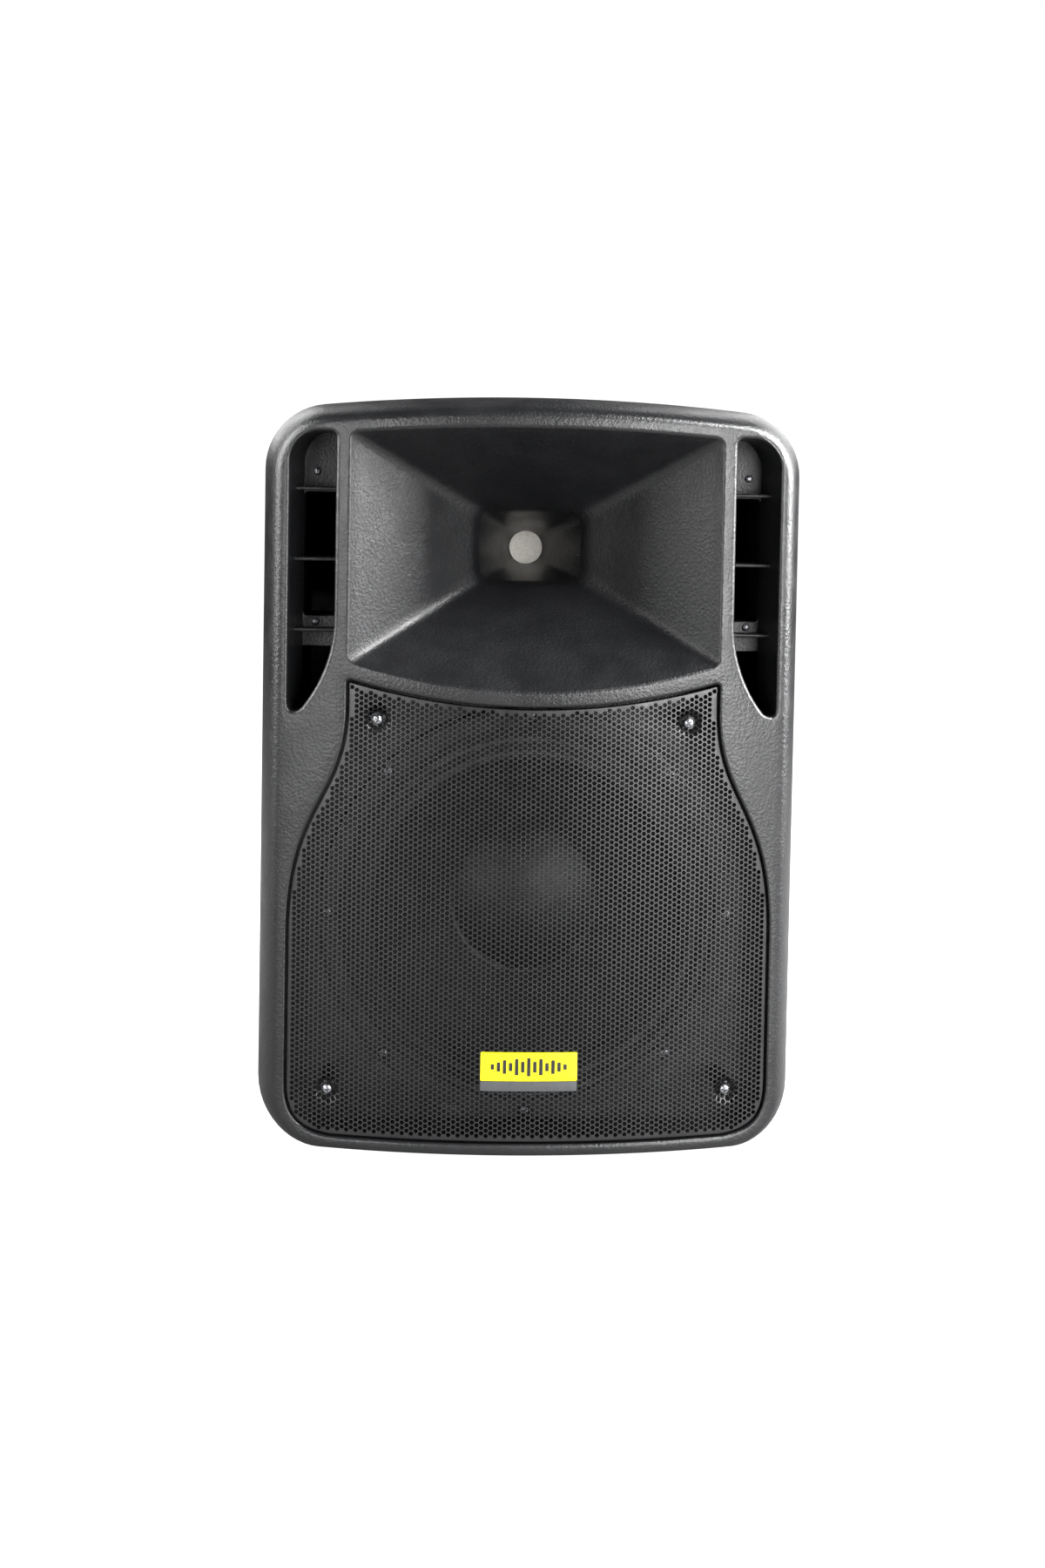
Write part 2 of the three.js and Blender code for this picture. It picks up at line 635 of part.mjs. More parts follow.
function backPlate() {
  const pole = COIL_RADIUS - 2;
  const poleFront = TOP_PLATE_DEPTH + 1;
  const back = MAGNET_END + BACK_PLATE_THICKNESS;
  const profile = [
    [0, poleFront],
    [pole, poleFront],
    [pole, MAGNET_END],
    [MOTOR_RADIUS, MAGNET_END],
    [MOTOR_RADIUS, back],
    [0, back],
  ];
  return turned(profile, 0, WOOFER_Z, 32);
}

// --- Compression driver ---------------------------------------------------------------------------

function throatScreen() {
  const radius = THROAT_RADIUS + 6;
  return ring(0, radius, THROAT_DEPTH + GAP, THROAT_DEPTH + 1.3, THROAT_Z, 24);
}

function driverPlate() {
  const near = THROAT_DEPTH + 1.6;
  const plate = ring(THROAT_RADIUS - 1, 42, near, near + 8, THROAT_Z, 32);
  const holes = BOLT_PLACES.map((x) => bar(BOLT_HOLE, near - 1, near + 9, x, THROAT_Z, 12));
  return cut(plate, ...holes);
}

function driverCover() {
  const near = DRIVER_MAGNET_END;
  const profile = [
    [30, near],
    [40, near],
    [40, near + 16],
    [34, near + 22],
    [0, near + 22],
    [0, near + 18],
    [30, near + 16],
  ];
  return turned(profile, 0, THROAT_Z, 32);
}

function diaphragm() {
  const near = DRIVER_MAGNET_END + 2;
  const dome = [[0, near + 6], [14, near + 3], [22, near], [27, near]];
  const inside = [[27, near + 0.8], [22, near + 0.8], [14, near + 4], [0, near + 7]];
  return turned([...dome, ...inside], 0, THROAT_Z, 28);
}

// --- Rear fittings --------------------------------------------------------------------------------

const plateScrewPlaces = () => {
  const [x, z] = PLATE_HALF.map((half) => half - 5);
  return [[-x, PLATE_Z - z], [x, PLATE_Z - z], [-x, PLATE_Z + z], [x, PLATE_Z + z]];
};

function inputPlate() {
  const [x, z] = PLATE_HALF;
  const front = DEPTH - PLATE_SHEET + GAP;
  const hole = (radius, holeX, holeZ, sides) => bar(radius, DEPTH - 20, DEPTH + 5, holeX, holeZ, sides);
  const pillars = PILLAR_PLACES.map(([pillarX, pillarZ]) => (
    bar(3, BOARD_DEPTH, front + 1, pillarX, PLATE_Z + pillarZ, 10)
  ));
  return join(
    cut(
      box([-x, at(front), PLATE_Z - z], [x, at(DEPTH - GAP), PLATE_Z + z]),
      hole(BARREL_RADIUS + GAP, -SOCKET_X, PLATE_Z, 24),
      hole(BARREL_RADIUS + GAP, SOCKET_X, PLATE_Z, 24),
      ...plateScrewPlaces().map(([screwX, screwZ]) => hole(SMALL_SCREW_HOLE, screwX, screwZ, 10)),
    ),
    ...pillars,
  );
}

// A round twist-lock socket: a barrel with a blind hollow and two key grooves.
function speakerSocket(x) {
  const barrel = bar(BARREL_RADIUS, DEPTH - 30, DEPTH - 0.5, x, PLATE_Z, 28);
  const hollow = bar(SOCKET_RADIUS, DEPTH - 26, DEPTH, x, PLATE_Z, 24);
  const grooves = box([x - 2, at(DEPTH - 26), PLATE_Z - 11.8], [x + 2, at(DEPTH), PLATE_Z + 11.8]);
  return cut(barrel, hollow, grooves);
}

// A flat-headed screw driven in from the back.
function plateScrew(x, z) {
  const seat = DEPTH - GAP + 0.05;
  return join(bar(3, seat, seat + 0.2, x, z, 14), bar(1.4, DEPTH - 11, seat + 0.05, x, z, 10));
}

function poleSocket() {
  const boreEnd = FOOT_HEIGHT + POLE_LENGTH;
  const tube = upright(POLE_RADIUS + 4, FOOT_HEIGHT - 2, boreEnd + 4);
  const flange = upright(POLE_FLANGE_RADIUS, FOOT_HEIGHT - 3, FOOT_HEIGHT - GAP, 40);
  return cut(join(tube, flange), upright(POLE_RADIUS, 0, boreEnd));
}

function crossoverBoard() {
  return box([-62, at(BOARD_DEPTH - 3), PLATE_Z - 44], [62, at(BOARD_DEPTH - GAP), PLATE_Z + 44]);
}

// --- Assembly -------------------------------------------------------------------------------------

place('front_shell', frontShell(), materials.shell);
place('horn_flare', hornFlare(), materials.shell);
place('rear_shell', rearShell(), materials.shell);

for (const [end, x, y] of FEET) {
  place(`foot_${end}_left`, foot(-x, y), materials.rubber);
  place(`foot_${end}_right`, foot(x, y), materials.rubber);
}

place('grille', grille(), materials.grille);
const badgeBlock = box([-BADGE_HALF_WIDTH, -DEPTH, BADGE_Z[0]], [BADGE_HALF_WIDTH, 0, BADGE_Z[1]]);
place('badge_plate', frontSheet(0, GRILLE_RECESS - GAP).intersect(badgeBlock), materials.badge);
GRILLE_SCREWS.forEach(([x, z], i) => {
  const seat = sag(x) + DIMPLE_DEPTH - GAP;
  const screw = cut(panScrew(GRILLE_SCREW, seat, x, z), crossSlot(1.9, seat - 1.2, x, z));
  place(`grille_screw_${i + 1}`, screw, materials.chrome);
});

const duct = portDuct();
place('port_duct_left', mirrored(duct), materials.trim);
place('port_duct_right', duct, materials.trim);
PORT_SCREWS.heights.forEach((z, i) => {
  const screw = panScrew(PORT_SCREW, TUNNEL_DEPTH, PORT_SCREWS.x, z);
  place(`port_screw_left_${i + 1}`, mirrored(screw), materials.chrome);
  place(`port_screw_right_${i + 1}`, screw, materials.chrome);
});

place('woofer_frame', wooferFrame(), materials.frame);
place('woofer_gasket', wooferGasket(), materials.rubber);
place('surround', surround(), materials.rubber);
place('woofer_cone', cone(), materials.paper);
place('dust_cap', dustCap(), materials.paper);
place('voice_coil', ring(COIL_RADIUS, COIL_RADIUS + 1.4, 117.5, 153, WOOFER_Z), materials.copper);
place('spider', spider(), materials.paper);
const topPlate = ring(COIL_RADIUS + 3.4, MOTOR_RADIUS, TOP_PLATE_DEPTH + GAP, MAGNET_DEPTH, WOOFER_Z);
place('top_plate', topPlate, materials.steel);
const magnet = ring(COIL_RADIUS + 12, MAGNET_RADIUS, MAGNET_DEPTH + GAP, MAGNET_END - GAP, WOOFER_Z, 40);
place('woofer_magnet', magnet, materials.ferrite);
place('back_plate', backPlate(), materials.steel);
wooferScrewPlaces().forEach(([x, z], i) => {
  place(`woofer_screw_${i + 1}`, panScrew(WOOFER_SCREW, FRAME_DEPTH - GAP, x, z), materials.screw);
});

place('throat_screen', throatScreen(), materials.steel);
place('driver_plate', driverPlate(), materials.steel);
const magnetNear = THROAT_DEPTH + 9.6 + GAP;
place('driver_magnet', ring(14, 46, magnetNear, DRIVER_MAGNET_END - GAP, THROAT_Z, 36), materials.ferrite);
place('driver_cover', driverCover(), materials.trim);
place('driver_diaphragm', diaphragm(), materials.steel);
BOLT_PLACES.forEach((x) => {
  const side = x < 0 ? 'left' : 'right';
  const seat = THROAT_DEPTH - COLLAR_THICKNESS - GAP;
  const nut = bar(5.5, seat - 4, seat, x, THROAT_Z, 6);
  const shank = bar(2.9, THROAT_DEPTH - 8, THROAT_DEPTH + 9, x, THROAT_Z, 12);
  place(`driver_bolt_${side}`, join(nut, shank), materials.screw);
});

place('input_plate', inputPlate(), materials.steel);
place('speaker_socket_1', speakerSocket(-SOCKET_X), materials.trim);
place('speaker_socket_2', speakerSocket(SOCKET_X), materials.trim);
plateScrewPlaces().forEach(([x, z], i) => place(`input_screw_${i + 1}`, plateScrew(x, z), materials.screw));
place('crossover_board', crossoverBoard(), materials.board);
const boardFace = BOARD_DEPTH - 3 - GAP;
place('inductor_coil', ring(9, 22, BOARD_DEPTH - 22, boardFace, PLATE_Z + 12, 28), materials.copper);
place('capacitor', bar(9, BOARD_DEPTH - 28, boardFace, 42, PLATE_Z - 22, 18), materials.badge);
place('pole_socket', poleSocket(), materials.trim);

export default model;
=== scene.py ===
import math

import bmesh
import bpy
import numpy as np
from mathutils import Matrix, Vector
from mathutils.geometry import delaunay_2d_cdt


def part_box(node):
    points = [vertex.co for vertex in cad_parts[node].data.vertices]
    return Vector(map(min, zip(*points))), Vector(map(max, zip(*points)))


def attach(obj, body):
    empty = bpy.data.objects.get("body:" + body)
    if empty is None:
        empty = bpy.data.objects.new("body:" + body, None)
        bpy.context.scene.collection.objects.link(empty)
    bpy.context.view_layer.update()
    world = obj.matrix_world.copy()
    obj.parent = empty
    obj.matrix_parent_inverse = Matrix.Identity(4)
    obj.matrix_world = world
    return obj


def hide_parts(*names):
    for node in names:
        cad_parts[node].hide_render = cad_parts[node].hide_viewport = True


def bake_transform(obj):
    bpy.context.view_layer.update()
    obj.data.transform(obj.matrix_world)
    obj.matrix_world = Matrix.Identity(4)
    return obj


# The looks of a passive two-way PA loudspeaker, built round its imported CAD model. Lengths are in
# millimetres until a piece is made. The front faces -Y, Z is up, X is the width, and "depth" is the
# distance behind the foremost line of the curved front.

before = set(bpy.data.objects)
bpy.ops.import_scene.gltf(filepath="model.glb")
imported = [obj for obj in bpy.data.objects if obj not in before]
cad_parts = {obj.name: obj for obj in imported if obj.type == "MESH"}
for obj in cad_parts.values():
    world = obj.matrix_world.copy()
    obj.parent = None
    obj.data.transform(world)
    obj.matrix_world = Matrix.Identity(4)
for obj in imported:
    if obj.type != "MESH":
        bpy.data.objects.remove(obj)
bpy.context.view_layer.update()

MM = 0.001


def low(node):
    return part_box(node)[0] / MM


def high(node):
    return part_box(node)[1] / MM


def middle(node):
    return (low(node) + high(node)) / 2


# --- Dimensions -----------------------------------------------------------------------------------

FRONT_Y = low("front_shell").y
HALF_WIDTH = high("front_shell").x
BASE_Z = low("front_shell").z
TOP_Z = high("front_shell").z
BACK_DEPTH = high("rear_shell").y - FRONT_Y
FRONT_RADIUS = 587
WALL = 5
CROWN = 5.5
SECTION_CORNER = 12
SECTION_CROWN = 48

RIM_WIDTH = 17
RIM_BOTTOM = 8
WIDEST_DEPTH = 83
PARTING_DEPTH = 88
PARTING_GROOVE = 1
BASE_CORNER = 44
HEAD_CORNER = 48
REAR_HALF_WIDTH = 139
REAR_TOP = 544
REAR_BASE_CORNER = 30
REAR_HEAD_CORNER = 34
REAR_ROUNDING = 10

MOUTH_HALF_WIDTH = 132.9
MOUTH_TOP = 529
MOUTH_SHOULDER = 524
MOUTH_CORNER = 361
MOUTH_BOTTOM = 342.3
MOUTH_LIP = 4
KNEE_DEPTH = 94
KNEE_HALF_WIDTH = 40.5
KNEE_Z = 443
KNEE_HALF_HEIGHT = 27
THROAT_Z = middle("throat_screen").z
THROAT_RADIUS = 13
THROAT_DEPTH = 169

WINDOW_INNER = 142.7
WINDOW_OUTER = 175.7
WINDOW_TOP = 523.7
WINDOW_LIP = 3.2
TUNNEL_DEPTH = 62
TUNNEL_DRAFT = 8
VANE_DEPTH = 48
VANE_HEIGHTS = [381.2, 432.5, 483.4]
VANE_THICKNESS = 2.8

GRILLE_HALF_WIDTH = 174.5
GRILLE_NECK = 133
GRILLE_TOP = 332
GRILLE_SHOULDER = 349
GRILLE_BOTTOM = 20.5
GRILLE_LIP = 2.2
GRILLE_CLEARANCE = 1.8
GRILLE_RECESS = 1.5
GRILLE_SHEET = 1.2
GRILLE_RETURN = 7
HOLE_PITCH = 3.82
HOLE_WIDTH = 2.95
EDGE_ROLL = 0.5
HOLE_MARGIN = 0.15
DIMPLE_RADIUS = 9.5
DIMPLE_FLOOR = 5
DIMPLE_DEPTH = 4.5

WOOFER_Z = middle("woofer_frame").z
FRAME_RADIUS = 152
FRAME_DEPTH = 54
BAFFLE_DEPTH = 59
BAFFLE_THICKNESS = 12
CUTOUT_RADIUS = 142
SCREW_CIRCLE = 147
SURROUND_OUTER = 137.5
CONE_RADIUS = 115.8
CONE_DEPTH = 57.5
CONE_SLOPE = 0.79
CAP_RADIUS = 54
CAP_RISE = 15
COIL_RADIUS = 36
SPIDER_RIM = 77
SPIDER_BACK = 132.5
SPIDER_FRONT = 122.5

POLE_Y = middle("pole_socket").y
POLE_RADIUS = 18.2
GRIP = {"floor": 128, "near": 185, "far": 235, "low": 290, "high": 410, "lip": 3, "fillet": 8}
PLATE_Z = middle("input_plate").z
PLATE_HALF_WIDTH = 70
PLATE_HALF_HEIGHT = 52
PLATE_NEAR = BACK_DEPTH - 0.35
SOCKET_RADIUS = 10.5


def at(depth):
    return FRONT_Y + depth


def sag(x):
    return FRONT_RADIUS - math.sqrt(FRONT_RADIUS ** 2 - x * x)


def lerp(a, b, t):
    return a + (b - a) * t


def smooth(t):
    t = min(max(t, 0), 1)
    return t * t * (3 - 2 * t)


def sine(degrees):
    return math.sin(math.radians(degrees))


def cosine(degrees):
    return math.cos(math.radians(degrees))


# --- Outlines, as lists of (x, z); every run leaves out its last point ------------------------------

def between(start, end, t):
    return lerp(start[0], end[0], t), lerp(start[1], end[1], t)


def line(start, end, steps):
    return [between(start, end, i / steps) for i in range(steps)]


def arc(x, z, radius, start, end, steps):
    angles = [lerp(start, end, i / steps) for i in range(steps)]
    return [(x + radius * cosine(a), z + radius * sine(a)) for a in angles]


def bend(*controls, steps):
    """A Bezier curve over its control points."""
    points = []
    for i in range(steps):
        level = list(controls)
        while len(level) > 1:
            level = [between(a, b, i / steps) for a, b in zip(level, level[1:])]
        points.append(level[0])
    return points


def rounded_box(half_x, half_z, radius, x=0, z=0, straight=6, corner=8):
    loop = line((x - half_x + radius, z - half_z), (x + half_x - radius, z - half_z), straight)
    loop += arc(x + half_x - radius, z - half_z + radius, radius, -90, 0, corner)
    loop += line((x + half_x, z - half_z + radius), (x + half_x, z + half_z - radius), straight)
    loop += arc(x + half_x - radius, z + half_z - radius, radius, 0, 90, corner)
    loop += line((x + half_x - radius, z + half_z), (x - half_x + radius, z + half_z), straight)
    loop += arc(x - half_x + radius, z + half_z - radius, radius, 90, 180, corner)
    loop += line((x - half_x, z + half_z - radius), (x - half_x, z - half_z + radius), straight)
    loop += arc(x - half_x + radius, z - half_z + radius, radius, 180, 270, corner)
    return loop


def circle(radius, x, z, steps=96):
    return arc(x, z, radius, 0, 360, steps)


def outward(loop):
    """The outward direction at each point of an anticlockwise loop, and its mitre's reach."""
    points = np.array(loop)
    before = points - np.roll(points, 1, 0)
    after = np.roll(points, -1, 0) - points
    before /= np.linalg.norm(before, axis=1, keepdims=True)
    after /= np.linalg.norm(after, axis=1, keepdims=True)
    normal = np.stack([before[:, 1] + after[:, 1], -before[:, 0] - after[:, 0]], 1)
    normal /= np.linalg.norm(normal, axis=1, keepdims=True)
    reach = normal[:, 0] * before[:, 1] - normal[:, 1] * before[:, 0]
    return normal, 1 / np.maximum(reach, 0.6)


def offset(loop, distance):
    normal, reach = outward(loop)
    moved = np.array(loop) + normal * (reach * distance)[:, None]
    return [tuple(point) for point in moved]


def cabinet_section(half, bottom, top, base, head, straight=1):
    end_x = half - head * (1 - sine(CROWN))
    rise = end_x * math.tan(math.radians(CROWN))
    corner_z = top - rise / 2 - head * cosine(CROWN)
    end_z = corner_z + head * cosine(CROWN)
    loop = line((base - half, bottom), (half - base, bottom), straight)
    loop += arc(half - base, bottom + base, base, -90, 0, SECTION_CORNER)
    loop += line((half, bottom + base), (half, corner_z), straight)
    loop += arc(half - head, corner_z, head, 0, 90 - CROWN, SECTION_CORNER)
    loop += bend((end_x, end_z), (0, end_z + rise), (-end_x, end_z), steps=SECTION_CROWN)
    loop += arc(head - half, corner_z, head, 90 + CROWN, 180, SECTION_CORNER)
    loop += line((-half, corner_z), (-half, bottom + base), straight)
    loop += arc(base - half, bottom + base, base, 180, 270, SECTION_CORNER)
    return loop


def four_sided(bottom, top, half, reach):
    """A loop of a bottom curve, a top curve and two upright sides, corners rounded over a reach."""
    across, upright, corner = 56, 30, 9

    def edge(z_of, start, end):
        return [(x, z_of(x)) for x, _ in line((start, 0), (end, 0), across)]

    inner = half - reach
    foot, head = bottom(half), top(half)
    loop = edge(bottom, -inner, inner)
    loop += bend((inner, bottom(inner)), (half, foot), (half, foot + reach), steps=corner)
    loop += line((half, foot + reach), (half, head - reach), upright)
    loop += bend((half, head - reach), (half, head), (inner, top(inner)), steps=corner)
    loop += edge(top, inner, -inner)
    loop += bend((-inner, top(inner)), (-half, head), (-half, head - reach), steps=corner)
    loop += line((-half, head - reach), (-half, foot + reach), upright)
    loop += bend((-half, foot + reach), (-half, foot), (-inner, bottom(inner)), steps=corner)
    return loop


def mouth_outline():
    def bottom(x):
        return lerp(MOUTH_BOTTOM, MOUTH_CORNER, (x / MOUTH_HALF_WIDTH) ** 2)

    def top(x):
        return lerp(MOUTH_TOP, MOUTH_SHOULDER, (x / MOUTH_HALF_WIDTH) ** 2)

    return four_sided(bottom, top, MOUTH_HALF_WIDTH, 6)


def knee_outline():
    bottom, top = KNEE_Z - KNEE_HALF_HEIGHT, KNEE_Z + KNEE_HALF_HEIGHT
    return four_sided(lambda x: bottom, lambda x: top, KNEE_HALF_WIDTH, 11)


def window_outline():
    """The right-hand port window: a large outer top corner, and a tip that sweeps outwards."""
    sweep = 103.1
    turn = 39
    start = (WINDOW_INNER + sweep, 392)
    end = (start[0] - sweep * cosine(turn), start[1] - sweep * sine(turn))
    along = (end[0] + 3.4 * sine(turn), end[1] - 3.4 * cosine(turn))
    outer_corner = 21
    inner_corner = 5
    loop = line((WINDOW_OUTER, 330), (WINDOW_OUTER, WINDOW_TOP - outer_corner), 40)
    loop += arc(WINDOW_OUTER - outer_corner, WINDOW_TOP - outer_corner, outer_corner, 0, 90, 14)
    loop += line(
        (WINDOW_OUTER - outer_corner, WINDOW_TOP), (WINDOW_INNER + inner_corner, WINDOW_TOP), 3
    )
    loop += arc(WINDOW_INNER + inner_corner, WINDOW_TOP - inner_corner, inner_corner, 90, 180, 7)
    loop += line((WINDOW_INNER, WINDOW_TOP - inner_corner), (WINDOW_INNER, start[1]), 26)
    loop += arc(*start, sweep, 180, 180 + turn, 18)
    loop += bend(end, along, (WINDOW_OUTER, 321.5), (WINDOW_OUTER, 330), steps=8)
    return loop


def grille_outline():
    """Arched top, a narrow neck that widens in an S curve, and round lower corners."""
    half = GRILLE_HALF_WIDTH
    neck = GRILLE_NECK
    shoulder = GRILLE_SHOULDER
    side = line((half, 56.5), (half, 165), 18)
    side += bend((half, 165), (half, 258), (neck + 2, 262), (neck, shoulder - 24), steps=34)
    side += line((neck, shoulder - 24), (neck, shoulder - 3), 5)
    side += bend((neck, shoulder - 3), (neck, shoulder - 0.5), (neck - 3, shoulder - 0.8), steps=3)
    shoulder_z = shoulder - 0.8
    top = bend((neck - 3, shoulder_z), (0, 2 * GRILLE_TOP - shoulder), (3 - neck, shoulder_z), steps=56)
    corner = bend((half - 34, GRILLE_BOTTOM), (half - 10, GRILLE_BOTTOM + 2),
                  (half, GRILLE_BOTTOM + 12), (half, GRILLE_BOTTOM + 36), steps=14)
    base = line((34 - half, GRILLE_BOTTOM), (half - 34, GRILLE_BOTTOM), 50)
    mirror = [(-x, z) for x, z in reversed(corner[1:] + side)]
    left = [(3 - neck, shoulder - 0.8)] + mirror
    return base + corner + side + top + left


# --- Surfaces -------------------------------------------------------------------------------------

class Skin:
    """Points in millimetres and the faces between them."""

    def __init__(self):
        self.points = []
        self.faces = []

    def ring(self, points):
        start = len(self.points)
        self.points.extend(tuple(point) for point in points)
        return list(range(start, len(self.points)))

    def bridge(self, a, b, skip=()):
        """Quads between two closed rings."""
        for i in range(len(a)):
            if i not in skip:
                j = (i + 1) % len(a)
                self.faces.append((a[i], a[j], b[j], b[i]))

    def tube(self, rings):
        rings = [self.ring(points) for points in rings]
        for a, b in zip(rings, rings[1:]):
            self.bridge(a, b)
        return rings

    def cap(self, ring, centre):
        tip = self.ring([centre])[0]
        for i, point in enumerate(ring):
            self.faces.append((point, ring[(i + 1) % len(ring)], tip))

    def sheet(self, outer, holes=(), spacing=9, axes=(0, 2), lift=None):
        """Fills a loop round its holes. The loops are laid out in two axes."""
        loops = [outer, *holes]
        ids = [index for loop in loops for index in loop]
        spots = np.array([[self.points[i][axes[0]], self.points[i][axes[1]]] for i in ids])
        faces = []
        start = 0
        for loop in loops:
            face = list(range(start, start + len(loop)))
            start += len(loop)
            faces.append(face if area(spots[face]) > 0 else face[::-1])
        inner = grid_points(spots, spacing) if lift else []
        spread = [Vector(spot) for spot in spots] + [Vector(spot) for spot in inner]
        found = delaunay_2d_cdt(spread, [], faces, 0, 1e-6)
        places = {}
        for face, sources in zip(found[2], found[5]):
            if 0 not in sources or len(sources) > 1:
                continue
            for i in face:
                if i not in places:
                    known = [s for s in found[3][i] if s < len(ids)]
                    places[i] = ids[known[0]] if known else self.ring([lift(*found[0][i])])[0]
            self.faces.append(tuple(places[i] for i in face))

    def lathe(self, profile, x, z, steps=96, closed=False):
        """Turns (radius, depth) points about an axis along Y."""
        profile = list(profile) + ([profile[0]] if closed else [])
        rings = []
        for radius, depth in profile:
            if radius < 1e-6:
                if rings:
                    self.cap(rings[-1], (x, at(depth), z))
                rings.append(None)
                start_tip = (x, at(depth), z)
                continue
            ring = self.ring((px, at(depth), pz) for px, pz in circle(radius, x, z, steps))
            if rings and rings[-1] is None:
                self.cap(ring, start_tip)
            elif rings:
                self.bridge(rings[-1], ring)
            rings.append(ring)
        return rings

    def shut(self, rings):
        """Closes both ends of a tube with one face each."""
        self.faces += [tuple(rings[0]), tuple(rings[-1])]


def area(loop):
    x, z = np.array(loop).T
    return np.sum(x * np.roll(z, -1) - np.roll(x, -1) * z) / 2


def grid_points(boundary, spacing):
    """Evenly spread points that keep clear of the boundary's points."""
    low_corner, high_corner = boundary.min(0), boundary.max(0)
    us = np.arange(low_corner[0] + spacing / 2, high_corner[0], spacing)
    vs = np.arange(low_corner[1] + spacing / 2, high_corner[1], spacing)
    spots = np.array([(u, v + (spacing / 2 if i % 2 else 0)) for i, u in enumerate(us) for v in vs])
    clear = [np.min(np.sum((boundary - spot) ** 2, 1)) > (0.6 * spacing) ** 2 for spot in spots]
    return spots[np.array(clear)] if len(spots) else []


def on_front(loop, extra=0):
    """Places a loop on the curved front, a given depth behind it."""
    return [(x, at(sag(x) + extra), z) for x, z in loop]


def flat(loop, depth):
    """Places a loop upright at one depth."""
    return [(x, at(depth), z) for x, z in loop]


def lip(loop, radius, steps=6):
    """Rings that roll from the front into a hole's wall."""
    rings = []
    for i in range(steps + 1):
        turn = 90 * i / steps
        rings.append(on_front(offset(loop, radius * (1 - sine(turn))), radius * (1 - cosine(turn))))
    return rings


def mirrored(points):
    return [(-x, *rest) for x, *rest in points]


def mesh_of(name, skin):
    mesh = bpy.data.meshes.new(name)
    mesh.from_pydata([(x * MM, y * MM, z * MM) for x, y, z in skin.points], [], skin.faces)
    shaped = bmesh.new()
    shaped.from_mesh(mesh)
    loose = [v for v in shaped.verts if not v.link_faces]
    bmesh.ops.delete(shaped, geom=loose, context="VERTS")
    bmesh.ops.recalc_face_normals(shaped, faces=shaped.faces)
    shaped.to_mesh(mesh)
    shaped.free()
    return mesh


def linked(name, data):
    thing = bpy.data.objects.new(name, data)
    bpy.context.scene.collection.objects.link(thing)
    return thing


def make(name, skin, finish, body="cabinet", replaces=(), sharp=35):
    """Makes a piece of a skin or a mesh. It rides on a body, unless none is given."""
    mesh = skin if isinstance(skin, bpy.types.Mesh) else mesh_of(name, skin)
    mesh.polygons.foreach_set("use_smooth", [True] * len(mesh.polygons))
    mesh.set_sharp_from_angle(angle=math.radians(sharp))
    mesh.materials.clear()
    mesh.materials.append(FINISHES[finish])
    piece = linked(name, mesh)
    if body:
        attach(piece, body)
    if replaces:
        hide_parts(*replaces)
    return piece


# --- Materials ------------------------------------------------------------------------------------

